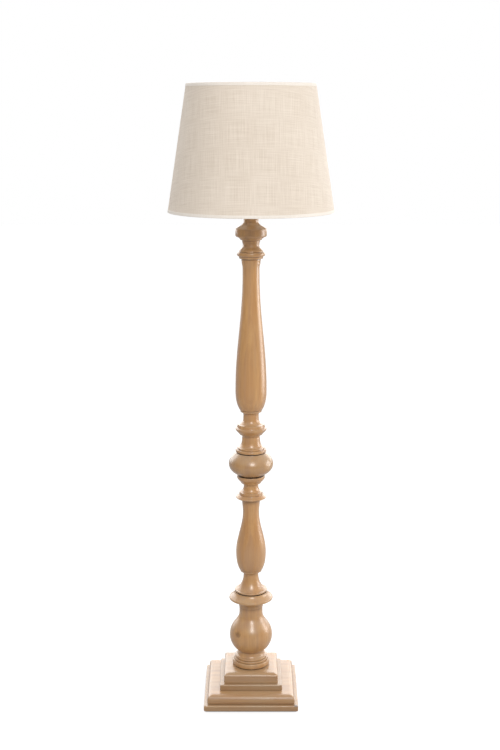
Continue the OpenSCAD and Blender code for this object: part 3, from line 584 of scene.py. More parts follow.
def dress(name, material):
    cad[name].data.materials.clear()
    cad[name].data.materials.append(material)


def finishPiece(piece, body, slot, *replaced):
    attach(piece, body)
    if replaced:
        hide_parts(*replaced)
        old = [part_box(name) for name in replaced]
        low = [min(box[0][axis] for box in old) for axis in range(3)]
        high = [max(box[1][axis] for box in old) for axis in range(3)]
        spots = np.array([vertex.co for vertex in piece.data.vertices])
        off = max(np.abs(spots.min(0) - low).max(), np.abs(spots.max(0) - high).max())
        print(f"{piece.name}: {len(piece.data.polygons)} faces, box off by {off*1000:.2f} mm")
    for name in replaced:
        dress(name, piece.data.materials[0])
    return piece


# ---- the turner's cuts, from the bottom up: rise, radius, and how the cut runs if it isn't straight

fillet = 0.003       # a small flat ring
quirk = 0.0012       # a small step
flareShare = 0.85    # how much of the upper foot's cove its hollow takes
groove = {"depth": 0.003, "height": 0.0025}    # the shadow groove at each joint
joint = {"bore": 0.0053, "spigot": 0.014, "spigotLength": 0.008, "slack": 0.00015}
seat = joint["spigot"] + joint["slack"]
seatDepth = joint["spigotLength"] + 4*joint["slack"]
edgeSoftness = 0.0009


def traceCuts(cuts):
    points = [(0.0, 0.0)]
    for entry in cuts:
        rise, radius, kind, *fullness = (*entry, "line") if len(entry) == 2 else entry
        startRadius, startHeight = points[-1]
        change = radius - startRadius
        if kind == "line":
            points.append((radius, startHeight + rise))
            continue
        count = max(6, min(40, int(math.hypot(rise, change)/0.0011)))
        for index in range(1, count + 1):
            share = index/count
            quarter = share*math.pi/2
            if fullness:
                low, high = startHeight + rise*fullness[0], startHeight + rise*(1 - fullness[1])
                a, b, c, d = (1 - share)**3, 3*share*(1 - share)**2, 3*share**2*(1 - share), share**3
                spot = (startRadius*(a + b) + radius*(c + d),
                        startHeight*a + low*b + high*c + (startHeight + rise)*d)
            elif kind == "ogee":
                spot = (startRadius + change*(1 - math.cos(math.pi*share))/2, startHeight + rise*share)
            elif (kind == "round") == (change > 0):
                spot = (startRadius + change*math.sin(quarter), startHeight + rise*(1 - math.cos(quarter)))
            else:
                spot = (radius - change*math.cos(quarter), startHeight + rise*math.sin(quarter))
            points.append(spot)
    return points[1:]


def climb(cuts):
    return sum(entry[0] for entry in cuts)


def grooved(radius):
    return [(0, radius - groove["depth"]), (groove["height"], radius - groove["depth"])]


def turnColumnPiece(name, cuts, base, finish, replaced, socket=True):
    top = climb(cuts)
    rimRadius = cuts[-1][1]
    outline = [(joint["bore"], -joint["spigotLength"]), (joint["spigot"], -joint["spigotLength"])]
    outline += soften([(joint["spigot"], 0)] + traceCuts(cuts)
                      + [(rimRadius - 0.002, top), (seat if socket else joint["bore"], top)], edgeSoftness)
    if socket:
        outline += [(seat, top - seatDepth), (joint["bore"], top - seatDepth)]
    outline.append(outline[0])
    # painted shadow in the groove at the foot and on the top face under the next piece
    shadowGaps = [(0, groove["height"] + 0.0001, cuts[0][1] + 0.0002),
            (top - 0.0001, top + 0.0001, rimRadius - 0.0015)]
    finishPiece(turn(name, outline, finish, base, shadowGaps=shadowGaps, Segments=128), "stand", "turned_wood", replaced)


plinth = {"slabWidth": 0.254, "slabHeight": 0.0155, "mouldingWidth": 0.236, "mouldingHeight": 0.024,
          "bevelIn": 0.017, "bevelHeight": 0.009, "stepWidth": 0.1685, "stepHeight": 0.016,
          "blockWidth": 0.146, "blockHeight": 0.027, "shoulderIn": 0.014, "shoulderHeight": 0.008,
          "edge": 0.0025, "corner": 0.003, "felt": 0.002}
slabBase = plinth["felt"]
mouldingBase = slabBase + plinth["slabHeight"]
stepBase = mouldingBase + plinth["mouldingHeight"]
blockBase = stepBase + plinth["stepHeight"]
urnBase = blockBase + plinth["blockHeight"]

urn = {"foot": 0.102, "footHeight": 0.012, "ring": 0.0935, "bead": 0.087, "waist": 0.070,
       "coveHeight": 0.0125, "bulb": 0.1164, "bulbLow": 0.0445, "bulbTop": 0.065, "neck": 0.0636,
       "neckHeight": 0.019, "lip": 0.119, "flare": 0.0215, "cap": 0.014}
lower = {"bell": 0.0876, "bellHeight": 0.043, "bellNeck": 0.0404, "vaseRing": 0.055, "vase": 0.081,
         "vaseLow": 0.0468, "vaseTop": 0.116, "vaseNeck": 0.0436, "vaseRise": 0.033, "bead": 0.0814,
         "beadHeight": 0.0132, "beadRing": 0.0626, "cove": 0.0392, "coveHeight": 0.017, "bowl": 0.0752,
         "bowlHeight": 0.0155, "bowlBand": 0.003}
ball = {"width": 0.1188, "low": 0.030, "top": 0.0312, "seat": 0.080}
upper = {"foot": 0.082, "footRing": 0.0728, "footCove": 0.0466, "footCoveHeight": 0.028, "rim": 0.0832,
         "rimHeight": 0.0128, "rimNeck": 0.0408, "rimNeckHeight": 0.0095, "shaft": 0.0824, "shaftLow": 0.0488,
         "shaftTop": 0.302, "shaftNeck": 0.0442, "collar": 0.0734, "collarHeight": 0.011,
         "collarCove": 0.0438, "collarCoveHeight": 0.012, "cup": 0.082, "cupHeight": 0.016,
         "cupHollow": 0.017, "neck": 0.0388, "neckHeight": 0.041}


def radiiOf(settings, names):
    return (settings[name]/2 for name in names.split())


foot, ring, bead, waist, bulge, neck, lip = radiiOf(urn, "foot ring bead waist bulb neck lip")
bell, bellNeck, vaseRing, vase, vaseNeck = radiiOf(lower, "bell bellNeck vaseRing vase vaseNeck")
urnCuts = grooved(foot) + [
    (0, foot - quirk), (urn["footHeight"]/2, foot, "round"), (urn["footHeight"]/2, foot - quirk, "round"),
    (quirk, foot - 2*quirk, "round"), (0, ring - quirk), (fillet, ring, "round"),
    (fillet, ring - quirk, "round"), (0, bead - quirk), (fillet, bead, "round"),
    (fillet, bead - quirk, "round"), (urn["coveHeight"], waist, "hollow"), (quirk, waist),
    (urn["bulbLow"], bulge, "ogee", 0.02, 0.66), (urn["bulbTop"], neck, "ogee", 0.55, 0.36),
    (urn["neckHeight"], neck), (0, neck + quirk), (urn["flare"], lip - 2*fillet, "hollow"),
    (fillet, lip, "round"), (fillet/2, lip - quirk/4), (fillet, lip - fillet, "round"),
    (urn["cap"], bell + quirk/2, "ogee", 0.02, 0.4)]

edgeBead, beadRing, cove, bowl = radiiOf(lower, "bead beadRing cove bowl")
lowerCuts = grooved(bell) + [
    (0, bell - quirk/4), (fillet, bell), (quirk, bell - quirk, "round"), (0, bell - 4*quirk),
    (lower["bellHeight"], bellNeck, "ogee", 0.02, 0.72), (3*fillet, vaseRing - quirk, "hollow"),
    (0, vaseRing + quirk), (2*fillet, vaseRing + fillet), (0, vaseRing + fillet - quirk/2),
    (quirk, vaseRing + fillet - quirk/2), (0, vaseRing + 1.5*fillet),
    (lower["vaseLow"], vase, "ogee", 0.02, 0.72), (lower["vaseTop"], vaseNeck, "ogee"),
    (lower["vaseRise"], vaseNeck + 2*quirk, "ogee"), (0, vaseNeck + 3*quirk),
    (fillet/2, vaseNeck + 4*quirk), (fillet, edgeBead - 3*fillet, "hollow"),
    (lower["beadHeight"]/4, edgeBead, "round"),
    (lower["beadHeight"]*7/12, beadRing + quirk, "ogee", 0.2, 0.2),
    (0, beadRing), (2.5*fillet, beadRing - quirk/4), (0, beadRing - quirk),
    (lower["coveHeight"], cove, "hollow"), (2.5*fillet, bowl - 4*fillet, "hollow"), (0, bowl - 3.6*fillet),
    (fillet/2, bowl - 3.6*fillet), (lower["bowlHeight"], bowl, "ogee", 0.1, 0.4),
    (lower["bowlBand"], bowl), (quirk, bowl - quirk, "round")]

ballCuts = grooved(bowl - fillet) + [
    (0, bowl - fillet), (ball["low"], ball["width"]/2, "ogee", 0.02, 0.7),
    (ball["top"], ball["seat"]/2, "ogee", 0.56, 0.04)]

upperFoot, footRing, footCove, rim, rimNeck = radiiOf(upper, "foot footRing footCove rim rimNeck")
shaft, shaftNeck, collar, collarCove = radiiOf(upper, "shaft shaftNeck collar collarCove")
cup, topNeck = radiiOf(upper, "cup neck")
upperCuts = grooved(upperFoot) + [
    (0, upperFoot - quirk), (fillet, upperFoot, "round"), (0.6*fillet, upperFoot),
    (fillet, footRing + quirk, "round"), (0, footRing), (1.5*fillet, footRing - quirk/4),
    (0, footRing - 2*quirk), (upper["footCoveHeight"]*flareShare, footCove + quirk/2, "hollow"),
    (upper["footCoveHeight"]*(1 - flareShare), footCove, "ogee"), (2.5*fillet, rim - 4.2*fillet, "hollow"),
    (0, rim - 3.6*fillet), (fillet, rim - 3.6*fillet), (0, rim - 2.9*fillet),
    (upper["rimHeight"], rim, "ogee", 0.1, 0.4), (quirk, rim), (1.5*fillet, rim - 1.7*fillet, "hollow"),
    (2*fillet, rim - 2*fillet), (0, rim - 2*fillet - quirk), (5*fillet, rimNeck + quirk/4, "hollow"),
    (upper["rimNeckHeight"], rimNeck), (3.2*fillet, rimNeck + 2*fillet, "hollow"),
    (0, rimNeck + 2.6*fillet), (1.5*fillet, rimNeck + 2.8*fillet), (0, rimNeck + 2.4*fillet),
    (quirk, rimNeck + 2.4*fillet), (0, rimNeck + 3.2*fillet),
    (upper["shaftLow"], shaft, "ogee", 0.02, 0.72), (2.5*fillet, shaft),
    (upper["shaftTop"], shaftNeck, "ogee"), (6*fillet, shaftNeck), (6*fillet, shaftNeck + 2*quirk, "ogee"),
    (quirk, shaftNeck + fillet), (2*fillet, shaftNeck + fillet), (0, collar - 2*fillet),
    (2*fillet, collar - 1.7*fillet), (0, collar - 1.4*fillet), (upper["collarHeight"]/2, collar, "round"),
    (upper["collarHeight"]/2, collar - fillet, "round"), (0, collar - fillet - quirk),
    (2*fillet, collar - 2*fillet - quirk, "round"),
    (upper["collarCoveHeight"], collarCove, "ogee", 0.1, 0.55),
    (2*fillet, collarCove), (quirk, collarCove + quirk, "round"), (fillet, collarCove + quirk),
    (fillet, cup - 4.4*fillet, "hollow"), (quirk, cup - 4.2*fillet), (fillet, cup - 3*fillet, "hollow"),
    (fillet, cup - 2.8*fillet), (0, cup - 1.8*fillet), (1.5*fillet, cup - quirk/4, "round"),
    (upper["cupHeight"]/2, cup), (upper["cupHeight"]/2, cup - quirk/4),
    (fillet/2, cup - fillet/2, "round"), (upper["cupHollow"], topNeck, "ogee", 0.1, 0.55),
    (upper["neckHeight"], topNeck)]

lowerBase = urnBase + climb(urnCuts)
ballBase = lowerBase + climb(lowerCuts)
upperBase = ballBase + climb(ballCuts)
neckTop = upperBase + climb(upperCuts)
turnColumnPiece("urnTurned", urnCuts, urnBase, urnWood, "urn")
turnColumnPiece("lowerTurned", lowerCuts, lowerBase, lowerWood, "lower_baluster")
turnColumnPiece("ballTurned", ballCuts, ballBase, ballWood, "ball")
turnColumnPiece("upperTurned", upperCuts, upperBase, upperWood, "upper_baluster", False)
print("column turned, its top at", round(neckTop, 4))


# ---- plinth: four square layers, cut like the column; here each cut is measured inwards from the side

pocket = {"radius": 0.032, "roof": 0.008, "ballastRadius": 0.10315, "ballastHeight": 0.008,
          "screwRadius": 0.00225, "screwHead": 0.00425, "screwHeadHeight": 0.0026,
          "slabScrewAt": 0.102, "slabScrew": 0.030, "blockScrewAt": 0.042, "blockScrew": 0.056,
          "ballastScrewAt": 0.0675, "ballastScrew": 0.0135, "bushRadius": 0.00505, "bushHeight": 0.009,
          "bushMiddle": 0.085, "bushDepth": 0.120}
over = 0.001    # how far a drill goes past a face
edge = plinth["edge"]
screwRadius = pocket["screwRadius"]


def makeLayer(name, width, cuts, base, finish, holes, replaced):
    outline = traceCuts([(rise, width/2 - inset, *kind) for rise, inset, *kind in cuts])
    piece = turn(name, capped(outline, 0.0011), finish, base, crease=45, Segments=28, Square=True,
                 Corner_Radius=plinth["corner"])
    drill(piece, holes)
    piece.data.set_sharp_from_angle(angle=math.radians(38))
    weighNormals(piece)
    finishPiece(piece, "stand", "plinth_wood", replaced)


def bored(x, y, radius, low, high):
    return ((x, y, (low + high)/2), (0, 0, 1), radius, radius, high - low)


def screwHoles(at, base, length, heads=True):
    holes = []
    for x in (-at, at):
        for y in (-at, at):
            holes.append(bored(x, y, screwRadius, base, base + length))
            if heads:
                holes.append(((x, y, base + pocket["screwHeadHeight"]/2), (0, 0, 1), pocket["screwHead"],
                              screwRadius, pocket["screwHeadHeight"]))
    return holes


slabScrews = (pocket["slabScrewAt"], slabBase, pocket["slabScrew"])
blockScrews = (pocket["blockScrewAt"], mouldingBase, pocket["blockScrew"])
slabHoles = [bored(0, 0, pocket["ballastRadius"], slabBase - over, slabBase + pocket["ballastHeight"]),
             bored(0, 0, pocket["radius"], slabBase, mouldingBase + over)] + screwHoles(*slabScrews)
ballastScrewAt = pocket["ballastScrewAt"]
for quarter in range(4):
    angle = math.radians(45 + 90*quarter)
    slabHoles.append(bored(ballastScrewAt*math.cos(angle), ballastScrewAt*math.sin(angle),
                           screwRadius, slabBase, slabBase + pocket["ballastScrew"]))
makeLayer("slabLayer", plinth["slabWidth"], [(0, edge), (edge, 0, "round"), (plinth["slabHeight"] - 2*edge, 0),
          (edge, edge, "round")], slabBase, slabWood, slabHoles, "plinth_slab")

plain = plinth["mouldingHeight"] - plinth["bevelHeight"]
bushAxis = mouldingBase + pocket["bushHeight"]
mouldingHoles = [bored(0, 0, pocket["radius"], mouldingBase - over, stepBase - pocket["roof"]),
                 bored(0, 0, joint["bore"], mouldingBase, stepBase + over),
                 ((0, pocket["bushMiddle"], bushAxis), (0, 1, 0), pocket["bushRadius"],
                  pocket["bushRadius"], pocket["bushDepth"])]
makeLayer("mouldingLayer", plinth["mouldingWidth"], [(0, edge), (plain*0.45, 0, "round"),
          (plain*0.55, quirk, "round"), (plinth["bevelHeight"], plinth["bevelIn"], "round")],
          mouldingBase, mouldingWood,
          mouldingHoles + screwHoles(*slabScrews, False) + screwHoles(*blockScrews), "plinth_moulding")

makeLayer("stepLayer", plinth["stepWidth"], [(0, edge/2), (edge/2, 0, "round"),
          (plinth["stepHeight"] - 1.5*edge, 0), (edge, edge, "round")], stepBase, stepWood,
          [bored(0, 0, joint["bore"], stepBase - over, blockBase + over)] + screwHoles(*blockScrews, False),
          "plinth_step")

blockHoles = [bored(0, 0, joint["bore"], blockBase - over, urnBase + over),
              bored(0, 0, seat, urnBase - seatDepth, urnBase + over)] + screwHoles(*blockScrews, False)
makeLayer("blockLayer", plinth["blockWidth"], [(0, edge/2), (edge/2, 0, "round"),
          (plinth["blockHeight"] - plinth["shoulderHeight"] - edge/2, 0),
          (plinth["shoulderHeight"], plinth["shoulderIn"], "round")], blockBase, blockWood, blockHoles,
          "plinth_block")

feltSide = 0.123
feltPad = turn("feltPad", capped([(feltSide, 0), (feltSide, plinth["felt"])], 0.0006), pressedFelt,
               Segments=28, Square=True, Corner_Radius=plinth["corner"], weigh=True)
finishPiece(feltPad, "stand", "felt", "base_felt")

bush = {"bore": 0.0035, "wall": 0.0015, "flange": 0.003, "flangeHeight": 0.0016, "length": 0.0165,
        "inside": 0.014}
bore, sleeve, tail = bush["bore"], bush["bore"] + bush["wall"], bush["length"] + bush["flangeHeight"]
cableBush = turn("bushRound", looped([(bore, 0), (sleeve, 0), (sleeve, bush["length"]),
                 (bore + bush["flange"], bush["length"]),
                 (bore + bush["flange"], bush["length"] + bush["flangeHeight"]/2), (sleeve, tail),
                 (bore, tail)], 0.0004), darkPlastic, Segments=64, weigh=True)
cableBush.data.transform(Matrix.Translation((0, plinth["mouldingWidth"]/2 - edge - bush["inside"], bushAxis))
                         @ Matrix.Rotation(math.radians(-90), 4, "X"))
finishPiece(cableBush, "stand", "dark_plastic", "cable_bush")
print("plinth ready")


# ---- lampholder

holder = {"radius": 0.0198, "wall": 0.0016, "floor": 0.003, "cupHeight": 0.025, "skirtHeight": 0.034,
          "skirtBore": 0.0177, "capHeight": 0.003, "nutHeight": 0.004, "tubeGrip": 0.007,
          "insert": 0.009, "boss": 0.0091, "ringRadius": 0.029, "ringHeight": 0.008, "flange": 0.002,
          "grip": 0.027, "flutes": 24, "bar": 0.005, "barLength": 0.052, "barTravel": 0.006,
          "barHole": 0.00258, "barHoleLength": 0.08}
radius, floor, skirtTop = holder["radius"], holder["floor"], holder["skirtHeight"]
cupBase = neckTop + holder["capHeight"] + holder["nutHeight"]
skirtBase = cupBase + holder["cupHeight"]
barHeight = cupBase + holder["tubeGrip"] + holder["bar"]/2 + 2*holder["wall"]
tube = 0.005

capRim = topNeck + 0.0015
neckCap = turn("neckCapTurned", looped([(tube + 0.00015, 0), (capRim, 0)] + traceCuts([(0, capRim),
               (0.0015, capRim - 0.00075, "round"), (0.0015, capRim - 0.0045, "hollow")])
               + [(tube + 0.00015, holder["capHeight"])], 0.0003), satinBrass, neckTop, Segments=96,
               weigh=True)
finishPiece(neckCap, "stand", "brass", "neck_cap")

wide = radius - holder["wall"]
narrow = wide - 0.0014
seatHeight = holder["cupHeight"] - holder["insert"]
cupOutline = looped([(tube + 0.00005, 0), (holder["boss"], 0), (holder["boss"], floor/2)]
    + traceCuts([(floor/2, holder["boss"]), (2*floor, radius, "round"),
                 (holder["cupHeight"] - 2.5*floor, radius)])
    + [(wide, holder["cupHeight"]), (wide, seatHeight), (narrow, seatHeight), (narrow, 2.5*floor),
       (holder["boss"], floor), (tube + 0.00005, floor)], 0.0004)
cupPiece = turn("cupSpun", cupOutline, satinBrass, cupBase, Segments=96)
drill(cupPiece, [((0, 0, barHeight), (1, 0, 0), holder["barHole"], holder["barHole"],
                  holder["barHoleLength"])])
finishPiece(cupPiece, "stand", "brass", "holder_cup")

shellFoot = 0.01405
wall = [(radius, 0.001 + index*0.0004) for index in range(int((skirtTop - 0.003)/0.0004))]
skirtOutline = looped([(shellFoot, 0), (radius, 0)] + wall + [
    (radius, skirtTop - 0.0012), (radius - 0.0012, skirtTop), (holder["skirtBore"], skirtTop),
    (holder["skirtBore"], 0.001), (shellFoot, 0.001)], 0.0003)
skirtPiece = turn("skirtThreaded", skirtOutline, satinBrass, skirtBase, Segments=96, Thread_Depth=0.0005,
                  Thread_Pitch=0.0025, Band_From=skirtBase + 0.004, Band_To=skirtBase + 0.031,
                  Band_Fade=0.0015, Band_Radius=0.0190)
finishPiece(skirtPiece, "stand", "brass", "holder_skirt")

plate = {"inner": 0.0204, "outer": 0.030, "height": 0.0016, "bend": 0.004}
gap = 0.0001
lowerRingBase = skirtBase + 0.006
carrierBase = lowerRingBase + holder["ringHeight"] + gap


def makeShadeRing(name, base, flangeUp, replaced):
    height, grip, wide = holder["ringHeight"], holder["grip"], holder["ringRadius"]
    gripHeight = height - holder["flange"]
    inside = radius + 0.00005
    rows = [(grip, gripHeight*index/12) for index in range(13)]
    outline = looped([(inside, 0)] + rows + [(wide, gripHeight), (wide, height), (inside, height)], 0.0003)
    band = (-0.001, gripHeight - 0.0003)
    if not flangeUp:
        outline = [(x, height - z) for x, z in outline]
        band = (holder["flange"] + 0.0003, height + 0.001)
    piece = turn(name, outline, satinBrass, base, Segments=192, Flutes=holder["flutes"], Flute_Depth=0.001,
                 Band_From=base + band[0], Band_To=base + band[1], Band_Fade=0.0004, Band_Radius=0.0262,
                 weigh=True)
    finishPiece(piece, "stand", "brass", replaced)


makeShadeRing("lowerRingFluted", lowerRingBase, True, "lower_shade_ring")
makeShadeRing("upperRingFluted", carrierBase + plate["height"] + gap, False, "upper_shade_ring")

barRadius, barEase, barLength = holder["bar"]/2, 0.001, holder["barLength"]
barOutline = traceCuts([(0, barRadius - barEase), (barEase, barRadius, "round"),
                        (barLength - 2*barEase, barRadius), (barEase, barRadius - barEase, "round")])
barPiece = turn("barRounded", capped(barOutline, 0.0003, inset=0.0005), satinBrass, Segments=48, weigh=True)
barPiece.data.transform(Matrix.Translation((-(barLength + holder["barTravel"])/2, 0, barHeight))
                        @ Matrix.Rotation(math.radians(90), 4, "Y"))
finishPiece(barPiece, "switch", "brass", "switch_bar")
print("lampholder ready")


# ---- bulb

bulb = {"width": 0.060, "height": 0.106, "cap": 0.0262, "capHeight": 0.022, "tip": 0.008,
        "tipHeight": 0.0015, "coneFoot": 0.010, "coneHeight": 0.003, "pitch": 0.003629, "thread": 0.0009}
tipBase = skirtBase + 0.005 + gap
capBase = tipBase + bulb["tipHeight"]
capRadius, cone, tip = bulb["cap"]/2, bulb["coneHeight"], bulb["tip"]/2

tipOutline = traceCuts([(0, tip/2), (0.001, tip, "round"), (bulb["tipHeight"] - 0.001, tip)])
finishPiece(turn("tipDomed", capped(tipOutline, 0.0002, inset=0.0005), solder, tipBase, Segments=64),
            "bulb_thread", "solder", "bulb_contact")
finishPiece(turn("insulatorCone", capped([(bulb["coneFoot"]/2, 0), (capRadius - 0.001, cone)], 0.0005),
                 blackGlass, capBase, Segments=96), "bulb", "cap_metal")
capRows = [(capRadius, 0.004 + index*0.0003) for index in range(59)]
capOutline = capped([(capRadius - 0.001, cone)] + capRows + [(capRadius, bulb["capHeight"])], 0.0003, cone)
capPiece = turn("capThreaded", capOutline, capMetal, capBase, Segments=96, Thread_Depth=bulb["thread"],
                Thread_Pitch=bulb["pitch"], Band_From=capBase + 0.004, Band_To=capBase + 0.0185,
                Band_Fade=0.0015, Band_Radius=0.0125)
finishPiece(capPiece, "bulb", "cap_metal")
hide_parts("bulb_cap")

flare = 0.002
crown = bulb["width"]/2
rise = bulb["height"] - bulb["tipHeight"] - bulb["capHeight"] - flare - crown
glassCuts = [(0, capRadius - 0.0003), (flare, capRadius + 0.0014, "ogee"), (rise, crown, "ogee", 0.5, 0.35),
             (crown, 0, "round")]
finishPiece(turn("glassBlown", [(0, 0)] + traceCuts(glassCuts), opalGlass, capBase + bulb["capHeight"],
                 Segments=96), "bulb", "opal_glass", "bulb_glass")
print("bulb ready")


# ---- shade

shade = {"bottom": 0.427, "top": 0.327, "height": 0.320, "drop": 0.062, "linen": 0.0008, "liner": 0.0008,
         "wire": 0.0032, "spoke": 0.003, "spokes": 3, "bend": 0.003, "trimWidth": 0.008, "trim": 0.0006,
         "lap": 0.012, "fit": 0.00005}
shadeBase = carrierBase - shade["drop"]
skin = shade["linen"] + shade["liner"]
girth = math.pi*shade["bottom"]
taper = (shade["bottom"] - shade["top"])/2
slant = math.hypot(shade["height"], taper)
wireRadius = shade["wire"]/2
wireIn = (wireRadius + shade["fit"])*slant/shade["height"]
wireUp = shade["trim"] + shade["fit"] + wireRadius


def shadeRadius(height):
    return (shade["bottom"] + (shade["top"] - shade["bottom"])*height/shade["height"])/2


def wireAt(height):
    return shadeRadius(height) - skin - wireIn


def atDepth(depth, height):
    return (shadeRadius(height) - depth, height)


def turnShade(name, outline, finish):
    return turn(name, outline, finish, shadeBase, crease=60, Segments=180, Girth=girth)


def makeWall(name, depth, thickness, finish):
    low, high = shade["trim"], shade["height"] - shade["trim"]
    rows = [low + (high - low)*index/40 for index in range(41)]
    outline = [atDepth(depth, height) for height in rows]
    outline += [atDepth(depth + thickness, height) for height in reversed(rows)]
    return turnShade(name, outline + outline[:1], finish)


def layFlat(piece):
    # the cloth's own flat pattern, a ring sector in metres, with its ends at the back
    mesh = piece.data
    wrapped = np.zeros(len(mesh.loops)*2)
    mesh.uv_layers["wrap"].data.foreach_get("uv", wrapped)
    spots = np.array([vertex.co for vertex in mesh.vertices])
    corners = np.array([loop.vertex_index for loop in mesh.loops])
    angle = (wrapped[0::2]/girth - 0.5)*2*math.pi*taper/slant
    reach = np.hypot(spots[corners, 0], spots[corners, 1])*slant/taper
    flat = np.stack([reach*np.sin(angle), reach*np.cos(angle)], 1)
    mesh.uv_layers.new(name="cut").data.foreach_set("uv", flat.astype(np.float32).ravel())


def makeTrim(name, rimHeight, way, replaced):
    # a strip folded over the rim and round the wire that lies behind it
    thick = shade["trim"]
    width = rimHeight + way*shade["trimWidth"]
    fold = rimHeight + way*thick
    over = rimHeight + way*(wireUp + wireRadius + shade["fit"])
    behind = skin + 2*wireIn
    # each corner has its depth, its height and its softness
    corners = [(0, fold + way*0.0015, 0), (0, width, 0.0001), (-thick, width, 0.0003),
               (-thick, rimHeight + way*0.004, 0), (-thick, rimHeight, 0.0022),
               (behind + thick, rimHeight, 0.0022), (behind + thick, over + way*thick, 0.0018),
               (skin, over + way*thick, 0.0003), (skin, over, 0.0001), (behind, over, 0.0012),
               (behind, fold, 0.0016), (0, fold, 0.0002), (0, fold + way*0.0015, 0)]
    outline = soften([atDepth(depth, height) for depth, height, _ in corners], [row[2] for row in corners])
    return finishPiece(turnShade(name, outline, trimCloth), "shade", "trim", replaced)


def makeLap():
    # at the back, where the two ends of the linen meet
    sheet = bmesh.new()
    rows = []
    for index in range(25):
        height = 0.009 + (shade["height"] - 0.018)*index/24
        radius = shadeRadius(height)
        row = []
        for share, lift in ((-0.5, 0.00002), (-0.47, 0.00045), (0.47, 0.00045), (0.5, 0.00002)):
            angle = math.pi/2 + share*shade["lap"]/radius
            row.append(sheet.verts.new(((radius + lift)*math.cos(angle), (radius + lift)*math.sin(angle),
                                        shadeBase + height)))
        rows.append(row)
    for below, above in zip(rows, rows[1:]):
        for index in range(4):
            sheet.faces.new((below[index], below[(index + 1) % 4], above[(index + 1) % 4], above[index]))
    sheet.faces.new(rows[0])
    sheet.faces.new(rows[-1])
    bmesh.ops.recalc_face_normals(sheet, faces=sheet.faces)
    layer = sheet.loops.layers.uv.new("cut")
    for face in sheet.faces:
        for loop in face.loops:
            loop[layer].uv = (loop.vert.co.x + 1.0, loop.vert.co.z)
    mesh = bpy.data.meshes.new("backLap")
    sheet.to_mesh(mesh)
    sheet.free()
    mesh.materials.append(linenCloth)
    return finishPiece(newPiece("backLap", mesh), "shade", "linen")


linenPiece = makeWall("linenCover", 0, shade["linen"], linenCloth)
layFlat(linenPiece)
finishPiece(linenPiece, "shade", "linen", "shade_linen")
linerPiece = makeWall("linerRolled", shade["linen"], shade["liner"], linerCard)
finishPiece(linerPiece, "shade", "liner", "shade_liner")
bottomTrim = makeTrim("bottomTape", 0, 1, "bottom_trim")
topTrim = makeTrim("topTape", shade["height"], -1, "top_trim")
lapPiece = makeLap()

topHeight = shade["height"] - wireUp
wireOutline = [(wireAt(topHeight) + wireRadius*math.cos(2*math.pi*i/24),
                topHeight + wireRadius*math.sin(2*math.pi*i/24)) for i in range(25)]
topWire = turn("topWireRound", wireOutline, whitePaint, shadeBase, crease=80, Segments=180)
finishPiece(topWire, "shade", "white_wire", "top_wire")

plateOutline = looped([(plate["inner"], 0), (plate["outer"], 0), (plate["outer"], plate["height"]),
                       (plate["inner"], plate["height"])], 0.0004)
finishPiece(turn("plateRound", plateOutline, whitePaint, carrierBase, Segments=96, weigh=True),
            "shade", "white_wire", "carrier_plate")


def makeSpokeTree():
    # one bent spoke, repeated round the axis, and the rim's wire that its ends meet
    tree, given, result = newTree("GeometryNodeTree", "spokes", {
        "Path": "Geometry", "Count": 3, "Start": 0.0, "Spoke Radius": 0.0015, "Bend Radius": 0.004,
        "Rim Radius": 0.2, "Rim Height": 1.0, "Wire Radius": 0.0016, "Finish": "Material"},
        {"Piece": "Geometry"})
    add = geometryAdder(tree)

    def tubeAlong(curve, radius, sides):
        profile = add("CurvePrimitiveCircle", {"Resolution": sides, "Radius": radius})
        return add("CurveToMesh", {"Curve": curve, "Profile Curve": profile, "Fill Caps": True})
    bent = add("FilletCurve", {"Curve": add("MeshToCurve", {"Mesh": given["Path"]}),
               "Radius": given["Bend Radius"], "Count": 8}, mode="POLY")
    step = reckon("DIVIDE", 2*math.pi, given["Count"])
    spokes = add("InstanceOnPoints", {"Points": add("Points", {"Count": given["Count"]}),
                 "Instance": tubeAlong(bent, given["Spoke Radius"], 16),
                 "Rotation": join(0.0, 0.0, add("InputIndex")*step + given["Start"])})
    rim = add("CurvePrimitiveCircle", {"Resolution": 180, "Radius": given["Rim Radius"]})
    wire = add("Transform", {"Geometry": tubeAlong(rim, given["Wire Radius"], 20),
               "Translation": join(0.0, 0.0, given["Rim Height"])})
    joined = tree.nodes.new("GeometryNodeJoinGeometry")
    connect(joined, {0: spokes})
    connect(joined, {0: wire})
    shape = add("RealizeInstances", {"Geometry": Value(joined.outputs[0])})
    shape = add("SetShadeSmooth", {"Geometry": shape})
    connect(result, {"Piece": add("SetMaterial", {"Geometry": shape, "Material": given["Finish"]})})
    return tree


spokeHeight = carrierBase + plate["height"]/2
spokeMesh = bpy.data.meshes.new("spokesBent")
spokeMesh.from_pydata([(plate["outer"] - 0.0002, 0, spokeHeight),
                       (holder["ringRadius"] + plate["bend"], 0, spokeHeight),
                       (wireAt(wireUp), 0, shadeBase + wireUp)], [(0, 1), (1, 2)], [])
spokePiece = newPiece("spokesBent", spokeMesh)
shapeWith(spokePiece, makeSpokeTree(), {"Count": shade["spokes"], "Start": math.radians(90),
          "Spoke Radius": shade["spoke"]/2, "Bend Radius": shade["bend"], "Rim Radius": wireAt(wireUp),
          "Rim Height": shadeBase + wireUp, "Wire Radius": wireRadius, "Finish": whitePaint})
finishPiece(spokePiece, "shade", "white_wire", "shade_carrier")
print("shade ready")


# ---- finishes of the solids that stay as they are, and of the one that two pieces stand for

